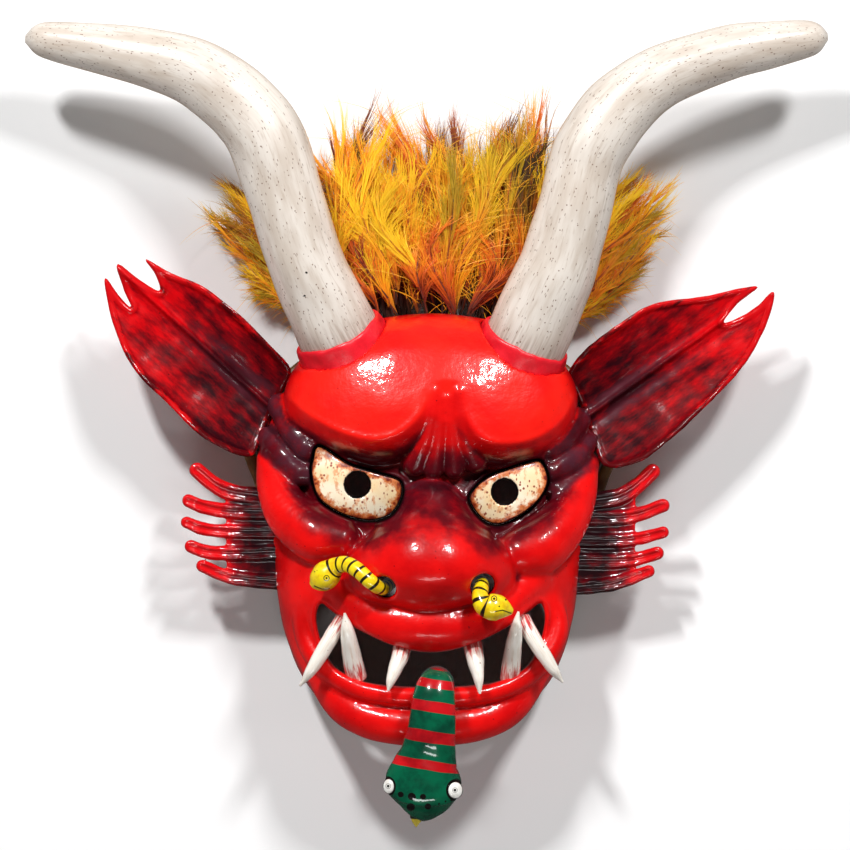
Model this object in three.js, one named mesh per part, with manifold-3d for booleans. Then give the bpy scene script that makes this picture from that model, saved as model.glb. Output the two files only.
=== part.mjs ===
// A horned devil dance mask, lying on its back with the face up. Sizes in millimetres.
// X runs to the viewer's right, Y towards the horns and Z up, out of the face.
import * as THREE from "three";
import { SimplifyModifier } from "three/addons/modifiers/SimplifyModifier.js";
import { mergeVertices } from "three/addons/utils/BufferGeometryUtils.js";
import Module from "manifold-3d";

const wasm = await Module();
wasm.setup();

// Driving sizes of the mask.
const GAP = 0.4; // clearance between neighbouring pieces
const WALL = 7; // wall of the moulded face
const BACK_DEPTH = 34; // height of the back shell that carries the face
const BACK_WALL = 9; // wall of the back shell
const MID_X = 3; // middle line of the nose and mouth
const BODY_X = 0.5; // middle line of the face's outline
const OUTER_CELL = 4.5; // sampling step of the face's outside
const INNER_CELL = 9; // sampling step of the face's inside
const OUTER_POINTS = 1030; // points kept on the face's outside, fewest where it is flat
const INNER_POINTS = 240;
const POINTS_STEP = 15; // points put back at a time until the thinned surface is closed
const HORN_WALL = 6;
const COLLAR_WALL = 4; // how far a collar stands out around its horn
const EYE_WALL = 6;
const PUPIL_RADIUS = 9.6;
const EAR_THICKNESS = 7;
const FIN_THICKNESS = 9;

const RED = { color: 0xd81410, roughness: 0.25, metalness: 0 };
const DARK_RED = { color: 0x7a0c10, roughness: 0.3, metalness: 0 };
const PINK_RED = { color: 0xe83438, roughness: 0.4, metalness: 0 };
const OLIVE_BROWN = { color: 0x6b4a1e, roughness: 0.45, metalness: 0 };
const BONE = { color: 0xece2d2, roughness: 0.4, metalness: 0 };
const CREAM = { color: 0xf0e4c4, roughness: 0.35, metalness: 0 };
const IVORY = { color: 0xf4ead8, roughness: 0.3, metalness: 0 };
const YELLOW = { color: 0xf2d21c, roughness: 0.3, metalness: 0 };
const GREEN = { color: 0x0b8a56, roughness: 0.25, metalness: 0 };
const ORANGE = { color: 0xe08a1c, roughness: 0.8, metalness: 0 };

// Measures of a moulded form: each returns the distance from a point to a surface, negative inside.
const mix = THREE.MathUtils.lerp;
const clamp = THREE.MathUtils.clamp;
const TINY = 1e-6; // keeps divisions clear of zero

function blend(a, b, radius) {
  const h = Math.max(radius - Math.abs(a - b), 0) / radius;
  return Math.min(a, b) - h * h * radius * 0.25;
}

function trim(a, b, radius) {
  return -blend(-a, -b, radius);
}

function ellipsoid(x, y, z, at, size) {
  const px = (x - at[0]) / size[0];
  const py = (y - at[1]) / size[1];
  const pz = (z - at[2]) / size[2];
  const k0 = Math.hypot(px, py, pz);
  const k1 = Math.hypot(px / size[0], py / size[1], pz / size[2]);
  return k1 > 0 ? (k0 * (k0 - 1)) / k1 : -Math.min(...size);
}

// A fleshy roll: a chain of [x, y, z, radius] stations with a round section.
function roll(x, y, z, stations) {
  let nearest = Infinity;
  for (let i = 0; i + 1 < stations.length; i++) {
    const [ax, ay, az, ar] = stations[i];
    const [bx, by, bz, br] = stations[i + 1];
    const dx = bx - ax;
    const dy = by - ay;
    const dz = bz - az;
    const along = (x - ax) * dx + (y - ay) * dy + (z - az) * dz;
    const t = clamp(along / (dx * dx + dy * dy + dz * dz), 0, 1);
    const gap = Math.hypot(x - ax - t * dx, y - ay - t * dy, z - az - t * dz);
    nearest = Math.min(nearest, gap - mix(ar, br, t));
  }
  return nearest;
}

// A roll's stations with smooth ones added between them.
const CHAIN_STEPS = 2;

function chain(stations) {
  const points = stations.map(([x, y, z]) => new THREE.Vector3(x, y, z));
  const path = new THREE.CatmullRomCurve3(points, false, "catmullrom");
  const radii = new THREE.SplineCurve(stations.map((s, i) => new THREE.Vector2(i, s[3])));
  const count = CHAIN_STEPS * (stations.length - 1);
  return Array.from({ length: count + 1 }, (_, n) => {
    const point = path.getPoint(n / count);
    return [point.x, point.y, point.z, radii.getPoint(n / count).y];
  });
}

// The masses of the head, X from the middle line where a form has both sides.
const MIDFACE = { at: [0, -72, 20], size: [117, 90, 70] };
const JAW = { at: [0, -150, 20], size: [101, 82, 84] };
const MUZZLE = { at: [0, -152, 58], size: [94, 70, 50] };
const JOWL = { at: [66, -116, 48], size: [40, 48, 38] };
const ORBIT = { at: [62, -38, 34], size: [36, 36, 50] };
const TEMPLE = { at: [99, -16, 20], size: [22, 36, 32] };
const GLABELLA = { at: [11, -16, 66], size: [30, 27, 32] };
const NOSE_BODY = { at: [0, -104, 100], size: [57, 31, 50] };
const NOSE_WING = { at: [40, -112, 90], size: [20, 20, 34] };
const BASE_BLEND = 22;

// How softly each form runs into what lies under it.
const SOFT = {
  brow: 5, frown: 4, temple: 5, cheek: 6, chin: 6, lowerLip: 4, upperLip: 6, nose: 5, bridge: 24, wing: 14,
  side: 10, join: 8,
};

// The forehead: a broad plane, highest at its lower edge, that falls away sideways and upwards from there.
const FOREHEAD = {
  top: 113, fallSide: 0.0022, fallUp: 0.0035, from: -14, at: [3, 15], size: [106, 63], round: 30,
};

// Each brow is a lobe of the forehead: reach and squareness on either side, and drop below its middle.
const BROWS = [
  { at: [-38, 28], inner: [41, 2], outer: [66, 1.6], drop: 42.4, innerSide: 1 },
  { at: [56, 25], inner: [31, 2.4], outer: [52, 2], drop: 42.3, innerSide: -1 },
];
const BROW_JOIN = 17; // Y from which the forehead is whole between the brows
const BROW_WIDTH = 21; // how far the rolled edge below a brow reaches
const BROW_LEAN = 1.25; // how far that edge runs out for each millimetre down, at its start
const BROW_EDGE = 1.6;
const BROW_REACH = [-9, 2]; // bounds of the falling-off of that edge, below and above the plane
const FROWN = { x: 14, wide: 13, tall: 14, ease: 0.55, soften: 14 }; // the dip between the brows

const FROWN_FOLDS = [
  [[5, 20, 103, 5.5], [4, 4, 103.5, 6], [-1, -14, 97.5, 7], [-8, -31, 88, 9]],
  [[10.5, 16, 102.5, 4.5], [10, 0, 102.5, 5], [8.5, -14, 98.5, 5.5], [5, -34, 90.5, 7.5]],
  [[17.5, 16, 102.5, 4.5], [18, 0, 102.5, 5], [18.5, -14, 98.5, 5.5], [20, -34, 90.5, 7.5]],
  [[23, 20, 103, 5.5], [24, 4, 103.5, 6], [28, -14, 97.5, 7], [35, -29, 88, 9]],
];
const NOSE_BRIDGE = [[0, -54, 78, 15], [0, -66, 90, 25], [0, -80, 101, 34], [0, -95, 109, 40]];
const CHEEK_ROLLS = [
  [[-114, -28, 50, 9], [-109, -48, 62, 13.5], [-97, -68, 74, 18], [-78, -82.5, 84, 20], [-62, -86, 90, 15]],
  [[115, -34, 50, 9], [109, -54, 62, 13.5], [98, -73, 74, 18], [83, -88, 84, 20.5], [68, -95, 90, 18]],
].map(chain);
const TEMPLE_ROLLS = [
  [[-106, 11, 46, 9], [-97, -5, 62, 10], [-86, -19, 72, 9.5]],
  [[-114, -13, 44, 9], [-105, -23, 58, 10], [-90, -38, 70, 9]],
  [[110, 1, 46, 9], [99, -11, 62, 10], [88, -19, 72, 9]],
  [[115, -15, 44, 9], [105, -27, 59, 10], [91, -36, 70, 9]],
  [[118, -30, 42, 7.5], [108, -41, 57, 8.5], [93, -49, 68, 8]],
].map(chain);
const UPPER_LIP = chain([
  [74, -113, 80, 13], [43, -138, 100, 17.5], [12, -146, 108, 19], [-12, -146, 108, 19],
]);
const LOWER_LIP = chain([
  [82, -122, 72, 8], [90.5, -146, 74, 8.5], [81, -170, 82, 8.5],
  [57, -189, 94, 8], [25, -196.5, 104, 7.5], [-25, -196.5, 104, 7.5],
]);
const CHIN_ROLL = chain([
  [82, -158, 55, 13], [76, -174, 64, 14.5], [62, -199, 78, 15], [44, -212, 88, 15], [17, -217.5, 94, 15],
  [-17, -217.5, 94, 15],
]);

// Distance in the plane to one brow lobe, open towards the top of the head.
function browLobe(x, y, lobe) {
  const toward = (x - lobe.at[0]) * lobe.innerSide > 0;
  const [wide, power] = toward ? lobe.inner : lobe.outer;
  const px = Math.abs(x - lobe.at[0]) / wide;
  const py = Math.max(lobe.at[1] - y, 0) / lobe.drop;
  const reach = Math.max((px ** power + py ** power) ** (1 / power), TINY);
  const slope = Math.hypot((px / reach) ** (power - 1) / wide, (py / reach) ** (power - 1) / lobe.drop);
  return (reach - 1) / Math.max(slope, TINY);
}

// The forehead's plane, rounded off round its outline and rolled under along the brows.
function forehead(x, y, z) {
  const side = x - FOREHEAD.at[0];
  const up = Math.max(y - FOREHEAD.from, 0);
  const top = FOREHEAD.top - FOREHEAD.fallSide * side ** 2 - FOREHEAD.fallUp * up ** 2;
  const slab = (z - top) / Math.hypot(1, 2 * FOREHEAD.fallSide * side, 2 * FOREHEAD.fallUp * up);
  const [rx, ry] = FOREHEAD.size;
  const deep = y - FOREHEAD.at[1];
  const reach = Math.max(Math.hypot(side / rx, deep / ry), TINY);
  const plan = (reach * (reach - 1)) / Math.max(Math.hypot(side / rx ** 2, deep / ry ** 2), TINY);
  const dip = Math.exp(-(((x - FROWN.x) / FROWN.wide) ** 2) - ((y - BROW_JOIN) / FROWN.tall) ** 2);
  const lobes = Math.min(...BROWS.map((lobe) => browLobe(x, y, lobe)));
  const edge = blend(lobes, BROW_JOIN - y, SOFT.join) * (1 - FROWN.ease * dip);
  const rounded = (FOREHEAD.round / 4) * clamp(1 + plan / FOREHEAD.round, 0, 1) ** 2;
  const shrink = Math.exp(clamp((-BROW_LEAN * (top - rounded - z)) / BROW_WIDTH, ...BROW_REACH));
  const under = (edge - BROW_WIDTH * (1 - shrink)) / Math.hypot(1, BROW_LEAN * shrink);
  return trim(trim(slab, plan, FOREHEAD.round), under, BROW_EDGE + FROWN.soften * dip);
}

// The large masses: middle of the face, jaw, muzzle, jowls, eye beds, temples, and the forehead.
function masses(x, y, z) {
  const cx = x - BODY_X;
  const m = Math.abs(cx);
  let d = ellipsoid(cx, y, z, MIDFACE.at, MIDFACE.size);
  d = blend(d, ellipsoid(cx, y, z, JAW.at, JAW.size), BASE_BLEND);
  d = blend(d, ellipsoid(cx, y, z, MUZZLE.at, MUZZLE.size), BASE_BLEND);
  d = blend(d, ellipsoid(m, y, z, JOWL.at, JOWL.size), BASE_BLEND);
  d = blend(d, ellipsoid(m, y, z, ORBIT.at, ORBIT.size), SOFT.side);
  d = blend(d, ellipsoid(m, y, z, TEMPLE.at, TEMPLE.size), SOFT.side);
  d = blend(d, ellipsoid(x, y, z, GLABELLA.at, GLABELLA.size), SOFT.side);
  return blend(d, forehead(x, y, z), SOFT.brow);
}

function nose(x, y, z) {
  const cx = x - MID_X;
  const body = ellipsoid(cx, y, z, NOSE_BODY.at, NOSE_BODY.size);
  const wings = ellipsoid(Math.abs(cx), y, z, NOSE_WING.at, NOSE_WING.size);
  return blend(blend(roll(cx, y, z, NOSE_BRIDGE), body, SOFT.bridge), wings, SOFT.wing);
}

function head(x, y, z) {
  const m = Math.abs(x - MID_X);
  let d = masses(x, y, z);
  for (const fold of FROWN_FOLDS) d = blend(d, roll(x, y, z, fold), SOFT.frown);
  for (const fold of TEMPLE_ROLLS) d = blend(d, roll(x, y, z, fold), SOFT.temple);
  for (const fold of CHEEK_ROLLS) d = blend(d, roll(x, y, z, fold), SOFT.cheek);
  d = blend(d, roll(Math.abs(x - BODY_X), y, z, CHIN_ROLL), SOFT.chin);
  d = blend(d, roll(m, y, z, LOWER_LIP), SOFT.lowerLip);
  d = blend(d, roll(m, y, z, UPPER_LIP), SOFT.upperLip);
  return blend(d, nose(x, y, z), SOFT.nose);
}

// The inside is smoother: the large masses and the nose only.
function hollow(x, y, z) {
  return blend(masses(x, y, z), nose(x, y, z), BASE_BLEND) + WALL;
}

// The closed surface of a form, as quads between the cells that the surface passes through.
const HEAD_BOX = { low: [-150, -256, -12], high: [156, 106, 178] };

function moulded(shape, cell) {
  const floor = HEAD_BOX.low[2] + 1.5 * cell;
  const form = (x, y, z) => Math.max(shape(x, y, z), floor - z);
  const count = HEAD_BOX.low.map((low, i) => Math.ceil((HEAD_BOX.high[i] - low) / cell) + 1);
  const [nx, ny, nz] = count;
  const at = (i, j, k) => i + nx * (j + ny * k);
  const corner = (...step) => step.map((n, axis) => HEAD_BOX.low[axis] + n * cell);
  const value = new Float64Array(nx * ny * nz);
  for (let k = 0; k < nz; k++) {
    for (let j = 0; j < ny; j++) {
      for (let i = 0; i < nx; i++) value[at(i, j, k)] = form(...corner(i, j, k));
    }
  }
  fillPinches(value, count, at, cell);
  const positions = [];
  const vertexOf = new Map();
  for (let k = 0; k + 1 < nz; k++) {
    for (let j = 0; j + 1 < ny; j++) {
      for (let i = 0; i + 1 < nx; i++) {
        const point = cellPoint(i, j, k, (a, b, c) => value[at(a, b, c)]);
        if (!point) continue;
        const world = point.map((v, axis) => HEAD_BOX.low[axis] + v * cell);
        vertexOf.set(at(i, j, k), positions.length / 3);
        positions.push(...settle(form, world, cell));
      }
    }
  }
  const index = [];
  for (let k = 1; k + 1 < nz; k++) {
    for (let j = 1; j + 1 < ny; j++) {
      for (let i = 1; i + 1 < nx; i++) {
        AXES.forEach((step, axis) => {
          const here = value[at(i, j, k)] < 0;
          if (here === value[at(i + step[0], j + step[1], k + step[2])] < 0) return;
          const u = AXES[(axis + 1) % 3];
          const v = AXES[(axis + 2) % 3];
          const ring = [[0, 0], [1, 0], [1, 1], [0, 1]].map(([a, b]) =>
            vertexOf.get(at(i - a * u[0] - b * v[0], j - a * u[1] - b * v[1], k - a * u[2] - b * v[2])));
          if (!here) ring.reverse();
          index.push(ring[0], ring[1], ring[2], ring[0], ring[2], ring[3]);
        });
      }
    }
  }
  return new THREE.BufferGeometry()
    .setAttribute("position", new THREE.Float32BufferAttribute(positions, 3))
    .setIndex(index);
}

const AXES = [[1, 0, 0], [0, 1, 0], [0, 0, 1]];
const PINCH_FILL = 0.05; // share of a cell that a filled crease lies under the surface

// Fills the narrow creases in which two parts of the surface would share an edge.
function fillPinches(value, [nx, ny, nz], at, cell) {
  let filled = true;
  while (filled) {
    filled = false;
    for (let k = 0; k + 1 < nz; k++) {
      for (let j = 0; j + 1 < ny; j++) {
        for (let i = 0; i + 1 < nx; i++) {
          for (let axis = 0; axis < 3; axis++) {
            const u = AXES[axis];
            const v = AXES[(axis + 1) % 3];
            const a = at(i, j, k);
            const b = at(i + u[0], j + u[1], k + u[2]);
            const c = at(i + u[0] + v[0], j + u[1] + v[1], k + u[2] + v[2]);
            const d = at(i + v[0], j + v[1], k + v[2]);
            const crossed = value[a] < 0 === value[c] < 0 && value[b] < 0 === value[d] < 0;
            if (!crossed || value[a] < 0 === value[b] < 0) continue;
            value[value[a] < 0 ? b : a] = -PINCH_FILL * cell;
            filled = true;
          }
        }
      }
    }
  }
}

// Mean of the edge crossings of one cell, in cell units, or nothing where the surface misses it.
function cellPoint(i, j, k, value) {
  const sum = [0, 0, 0];
  let crossings = 0;
  for (let axis = 0; axis < 3; axis++) {
    for (const [a, b] of [[0, 0], [1, 0], [0, 1], [1, 1]]) {
      const start = [i, j, k];
      start[(axis + 1) % 3] += a;
      start[(axis + 2) % 3] += b;
      const end = start.slice();
      end[axis] += 1;
      const va = value(...start);
      const vb = value(...end);
      if (va < 0 === vb < 0) continue;
      start[axis] += va / (va - vb);
      start.forEach((v, n) => (sum[n] += v));
      crossings++;
    }
  }
  return crossings ? sum.map((v) => v / crossings) : null;
}

// Moves a point onto the form's surface along the slope, by no more than half a cell.
const FLATTEST = 0.05; // square of the slope below which a point stays

function settle(form, point, cell) {
  const reach = 0.5;
  const p = point.slice();
  for (let pass = 0; pass < 2; pass++) {
    const d = form(...p);
    const slope = [0, 1, 2].map((axis) => {
      const q = p.slice();
      q[axis] += reach;
      return (form(...q) - d) / reach;
    });
    const square = slope[0] ** 2 + slope[1] ** 2 + slope[2] ** 2;
    if (square < FLATTEST) return p;
    slope.forEach((s, axis) => {
      const most = cell / 2;
      p[axis] = clamp(p[axis] - (d * s) / square, point[axis] - most, point[axis] + most);
    });
  }
  return p;
}

// Solids for joining and cutting.
const SAME_POINT = 1e-3; // corners closer than this are one

function solid(geometry) {
  const bare = geometry.clone();
  bare.deleteAttribute("normal");
  bare.deleteAttribute("uv");
  const merged = mergeVertices(bare, SAME_POINT);
  return new wasm.Manifold(new wasm.Mesh({
    numProp: 3,
    vertProperties: merged.attributes.position.array,
    triVerts: new Uint32Array(merged.index.array),
  }));
}

// Leaves out the points that lie flattest, down to about the wanted number.
async function thinned(geometry, points) {
  const most = geometry.attributes.position.count;
  for (let keep = points; keep < most; keep += POINTS_STEP) {
    const thin = await new SimplifyModifier().modify(geometry, most - keep);
    if (edgesJoinTwo(thin.index.array)) return thin;
  }
  return geometry;
}

function edgesJoinTwo(index) {
  const uses = new Map();
  for (let i = 0; i < index.length; i++) {
    const next = i % 3 === 2 ? i - 2 : i + 1;
    const key = Math.min(index[i], index[next]) + "," + Math.max(index[i], index[next]);
    uses.set(key, (uses.get(key) || 0) + 1);
  }
  return [...uses.values()].every((n) => n === 2);
}

// A solid with a clearance around it: its copies moved both ways along each axis.
function grown(body, by) {
  const moves = [[by, 0, 0], [0, by, 0], [0, 0, by]];
  const copies = moves.flatMap(([x, y, z]) => [body.translate(x, y, z), body.translate(-x, -y, -z)]);
  return copies.reduce((all, copy) => all.add(copy), body);
}

function largest(body) {
  return body.decompose().reduce((a, b) => (b.volume() > a.volume() ? b : a));
}

function geometryOf(body) {
  const mesh = body.getMesh();
  const geometry = new THREE.BufferGeometry()
    .setAttribute("position", new THREE.BufferAttribute(mesh.vertProperties, 3))
    .setIndex(new THREE.BufferAttribute(mesh.triVerts, 1));
  geometry.computeVertexNormals();
  return geometry;
}

// A closed outline through [x, y] points, raised straight up between two heights.
function prism(points, low, high, smooth = true, divisions = 48) {
  const corners = points.map(([x, y]) => new THREE.Vector3(x, y, 0));
  const curve = new THREE.CatmullRomCurve3(corners, true);
  const outline = smooth ? curve.getSpacedPoints(divisions).slice(0, -1) : corners;
  const shape = new THREE.Shape(outline.map((p) => new THREE.Vector2(p.x, p.y)));
  const raised = new THREE.ExtrudeGeometry(shape, { depth: high - low, bevelEnabled: false });
  return solid(raised.translate(0, 0, low));
}

// Points moved in or out from the middle of an outline.
function widened(points, by) {
  const middle = [0, 1].map((axis) => points.reduce((sum, p) => sum + p[axis], 0) / points.length);
  return points.map(([x, y]) => {
    const away = Math.hypot(x - middle[0], y - middle[1]);
    return [x + ((x - middle[0]) * by) / away, y + ((y - middle[1]) * by) / away];
  });
}

function ball(at, size, around = 24, down = 16) {
  const sphere = new THREE.SphereGeometry(1, around, down);
  return solid(sphere.scale(...size).translate(...at));
}

// A tapering round body along [x, y, z, radius] stations, from start to end as shares of its length.
function loft(stations, sides, rings, extra = 0, start = 0, end = 1) {
  const path = new THREE.CatmullRomCurve3(stations.map(([x, y, z]) => new THREE.Vector3(x, y, z)));
  const radiusPath = new THREE.SplineCurve(stations.map((s, i) => new THREE.Vector2(i, s[3])));
  const positions = [];
  const index = [];
  const up = new THREE.Vector3(0, 0, 1);
  for (let ring = 0; ring <= rings; ring++) {
    const t = mix(start, end, ring / rings);
    const centre = path.getPoint(t);
    const along = path.getTangent(t);
    const side = new THREE.Vector3().crossVectors(along, up).normalize();
    const lift = new THREE.Vector3().crossVectors(side, along);
    const radius = radiusPath.getPoint(t).y + extra;
    for (let s = 0; s < sides; s++) {
      const turn = (s / sides) * Math.PI * 2;
      const p = centre.clone().addScaledVector(side, radius * Math.cos(turn));
      p.addScaledVector(lift, radius * Math.sin(turn));
      positions.push(p.x, p.y, p.z);
    }
  }
  for (let ring = 0; ring < rings; ring++) {
    for (let s = 0; s < sides; s++) {
      const a = ring * sides + s;
      const b = ring * sides + ((s + 1) % sides);
      index.push(a, b, b + sides, a, b + sides, a + sides);
    }
  }
  const last = rings * sides;
  for (let s = 1; s + 1 < sides; s++) {
    index.push(0, s + 1, s, last, last + s, last + s + 1);
  }
  const geometry = new THREE.BufferGeometry()
    .setAttribute("position", new THREE.Float32BufferAttribute(positions, 3))
    .setIndex(index);
  const body = solid(geometry);
  if (body.volume() > 0) return body;
  return solid(geometry.setIndex(index.reverse()));
}

// A sheet of even thickness whose top follows a height function, over a rectangle.
function sheet(low, high, cells, height, thickness) {
  const [nx, ny] = cells;
  const positions = [];
  const index = [];
  for (const down of [0, thickness]) {
    for (let j = 0; j <= ny; j++) {
      for (let i = 0; i <= nx; i++) {
        const x = mix(low[0], high[0], i / nx);
        const y = mix(low[1], high[1], j / ny);
        positions.push(x, y, height(x, y) - down);
      }
    }
  }
  const under = (nx + 1) * (ny + 1);
  const at = (i, j) => i + j * (nx + 1);
  for (let j = 0; j < ny; j++) {
    for (let i = 0; i < nx; i++) {
      const [a, b, c, d] = [at(i, j), at(i + 1, j), at(i + 1, j + 1), at(i, j + 1)];
      index.push(a, b, c, a, c, d);
      index.push(under + a, under + c, under + b, under + a, under + d, under + c);
    }
  }
  const edge = [];
  for (let i = 0; i < nx; i++) edge.push(at(i, 0));
  for (let j = 0; j < ny; j++) edge.push(at(nx, j));
  for (let i = nx; i > 0; i--) edge.push(at(i, ny));
  for (let j = ny; j > 0; j--) edge.push(at(0, j));
  edge.forEach((a, n) => {
    const b = edge[(n + 1) % edge.length];
    index.push(a, under + a, under + b, a, under + b, b);
  });
  return solid(new THREE.BufferGeometry()
    .setAttribute("position", new THREE.Float32BufferAttribute(positions, 3))
    .setIndex(index));
}

const mirrored = (half) => [...half, ...half.slice(1, -1).reverse().map(([x, y]) => [2 * MID_X - x, y])];

// Openings of the face.
const MOUTH = mirrored([
  [3, -165.5], [25, -162], [45, -154], [62, -145], [75, -135.5], [82, -131],
  [85, -142], [81, -160], [72, -176], [56, -185], [38, -189], [3, -190.5],
]);
const EYE_LEFT = [
  [-77, -18], [-81.5, -28], [-82.5, -38], [-78, -54], [-66, -64], [-50, -70], [-37, -71], [-25, -66],
  [-18, -54], [-19.5, -43], [-34, -38], [-56, -31],
];
const EYE_RIGHT = [
  [81, -29], [86.5, -38], [86, -47], [79, -58], [66, -68], [52, -74], [40, -70], [31, -57],
  [35, -48], [45, -40], [58, -35], [70, -31],
];
const PUPIL_LEFT = [-49.6, -45.6];
const PUPIL_RIGHT = [56, -50.8];
const EYE_DOME = { size: [64, 54, 46], z: 44 };
const NOSTRIL_SIDES = 12;
const NOSTRIL_LEFT = [[-31, -120, 146, 8.5], [-29, -117, 122, 8.5], [-24, -110, 80, 8]];
const NOSTRIL_RIGHT = [[41, -119, 146, 9], [39, -116, 122, 9], [32, -110, 80, 8]];
const HIGH = 220; // above everything
const SPREAD = 700; // wider than everything
const MOUTH_SIDES = 32;
const EYE_SIDES = 22;
const EYE_SKIRT = 8; // the eye plate starts this far above its dome's centre

// Horns and their collars, from inside the forehead to the tips.
const HORN_LEFT = [
  [-52, 40, 55, 31], [-64, 64, 67, 30], [-74, 85, 73, 28.5], [-84, 107, 77, 27.5], [-94, 135, 79, 27.5],
  [-103, 165, 80, 27.5], [-115, 202, 80, 28], [-129, 222, 79, 27], [-147, 238, 77, 26],
  [-170, 252, 75, 24],
  [-200, 261, 72, 21.5], [-236, 268, 69, 18], [-267, 273, 66, 14.5], [-281, 275, 65, 11],
  [-289, 275.5, 64, 3],
];
const HORN_RIGHT = [
  [60, 36, 55, 31], [72, 59, 67, 30], [80, 77, 72, 30], [88, 96, 76, 29], [96, 115, 78, 28],
  [106, 151, 80, 26.8], [113, 180, 80, 26.6], [120, 199, 80, 26.6], [139, 225, 78, 25.5],
  [170, 248, 76, 22.5],
  [216, 265, 71, 19.8], [247, 271, 68, 17], [272, 275, 66, 14], [282.4, 276.5, 65, 10.5],
  [288.9, 277, 64, 3],
];
const COLLAR_END = 0.94 / 14; // share of the horn's length that the collar covers
const HORN_ROOT = 0.35 / 14; // share of the length where the horn starts inside the forehead
const SOCKET_END = 1.8 / 14; // share of the length that the hole in the forehead follows
const BORE_END = 0.72; // share of the length that is hollow
const HORN_SIDES = 10;
const HORN_RINGS = 15;

// Ears: cupped leaves with a rib along the middle and split ends.
const EAR_CELLS = [6, 6];
const EAR_RIB = { height: 5, half: 0.12 };
const CUP_FADE = 0.55; // how much of the cup is lost towards the tip
const MARGIN = 2; // how far a sheet reaches past the outline that cuts it
const EAR_LEFT = {
  outline: [
    [-98, 37], [-112, 54], [-129, 71], [-146, 86], [-163, 98], [-185, 107], [-203, 117],
    [-196, 106], [-193, 94], [-208, 103], [-223, 113],
    [-219, 96], [-213, 82], [-222, 90], [-231, 103],
    [-232, 97], [-228, 77], [-219, 51], [-205, 30], [-190, 16], [-165, -9], [-149, -19],
    [-134, -25], [-124, -23],
    [-113, 2], [-104, 22],
  ],
  root: [-111, 8], tip: [-218, 106], half: 44, lift: 18, rootZ: 44, cup: 20,
};
const EAR_RIGHT = {
  outline: [
    [102, 33], [113, 50], [126, 61], [142, 72], [157, 82], [176, 87], [200, 90], [218, 94], [239, 97],
    [226, 86], [216, 74], [216, 71], [228, 76], [240, 84], [249, 93],
    [251, 89], [247, 74], [240, 58], [229, 40], [213, 22], [197, 6], [182, -8], [168, -20],
    [152, -30], [129, -33],
    [118, -9], [110, 16],
  ],
  root: [112, 0], tip: [238, 90], half: 46, lift: 18, rootZ: 42, cup: 20,
};

// Cheek fins: five grooved prongs joined by a web.
const FIN_LEFT = {
  tips: [[-169, -31], [-178, -57], [-178, -73], [-176, -90], [-168, -104]],
  notches: [[-148, -59], [-146.5, -72], [-147, -88.5], [-146, -102]],
  top: [-126, -47], bottom: [-112, -122], rootZ: 46, tipZ: 56,
};
const FIN_RIGHT = {
  tips: [[166, -34], [174, -60], [174, -80], [170, -95], [163, -108]],
  notches: [[142, -63.5], [140.5, -79], [141.5, -94.5], [149, -106]],
  top: [126, -54], bottom: [112, -126], rootZ: 46, tipZ: 56,
};
const PRONG_RADIUS = 4.6;
const FIN_ROOT = 16; // how far the web runs in towards the cheek
const FIN_CELLS = [8, 1];

const FANG_SIDES = 7;
const FANG_RINGS = 4;
const FANGS = {
  fang_outer_left: [
    [-60, -141, 96, 5], [-68, -154, 103, 5.6], [-81, -176, 104, 4.6], [-90.5, -189.5, 100, 0.8],
  ],
  fang_lower_left: [
    [-50, -184, 92, 7.6], [-53, -170, 100, 7], [-56.5, -150, 112, 5], [-58.3, -137, 116, 0.8],
  ],
  fang_upper_left: [
    [-17, -161, 104, 6.6], [-20, -171, 112, 6], [-25, -184, 118, 3.8], [-27.4, -192.5, 119, 0.8],
  ],
  fang_upper_right: [
    [33, -160, 104, 7], [35, -171, 112, 6.2], [37, -184, 118, 3.8], [38, -194.5, 119, 0.8],
  ],
  fang_lower_right: [
    [60, -185, 92, 7.4], [61, -171, 100, 6.6], [63.5, -151, 112, 4.8], [65.5, -136, 116, 0.8],
  ],
  fang_outer_right: [
    [69, -141, 96, 5], [76, -155, 103, 5.6], [89, -175, 104, 4.6], [97.5, -187, 100, 0.8],
  ],
};

const TONGUE_SNAKE = [
  [7.4, -186, 80, 11], [7.4, -186.5, 100, 11.4], [7, -188, 118, 12.2], [6, -196, 131, 14.5],
  [4, -214, 134, 16.5],
  [2, -232, 126, 18.5], [0, -245, 119, 21], [-2, -260, 112, 27], [-3, -272, 107, 24],
  [-6, -280, 104, 12], [-8, -287.9, 102, 2.5],
];
const SNAKE_SIDES = 9;
const SNAKE_RINGS = { tongue: 12, left: 10, right: 9 };
const TONGUE_FLAT = 0.62; // height of the snake's head against its width
const NOSTRIL_SNAKE_LEFT = [
  [-26, -116, 112, 4.6], [-32, -119, 130, 5], [-40, -114, 137, 5.4], [-49, -106, 134, 5.6],
  [-57, -102, 127, 5.8],
  [-65, -104.5, 121, 6.6], [-71.5, -110, 117, 10.5], [-77, -114, 115, 9], [-82, -117, 114, 3],
];
const NOSTRIL_SNAKE_RIGHT = [
  [37, -113, 112, 5], [39, -117, 130, 5.4], [39, -124, 138, 5.8], [42, -131, 140, 7.5],
  [48, -132, 140, 9.6],
  [54, -133.5, 139, 8], [60.5, -136, 138, 2.6],
];

// Feathers: a fan behind the forehead and a tuft beyond each horn, in layers.
// Each feather is [root, tip, half width].
const BLADE_EDGE = [[0, 0.35], [0.4, 1], [0.85, 0.72]]; // shares of length and half width
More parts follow.
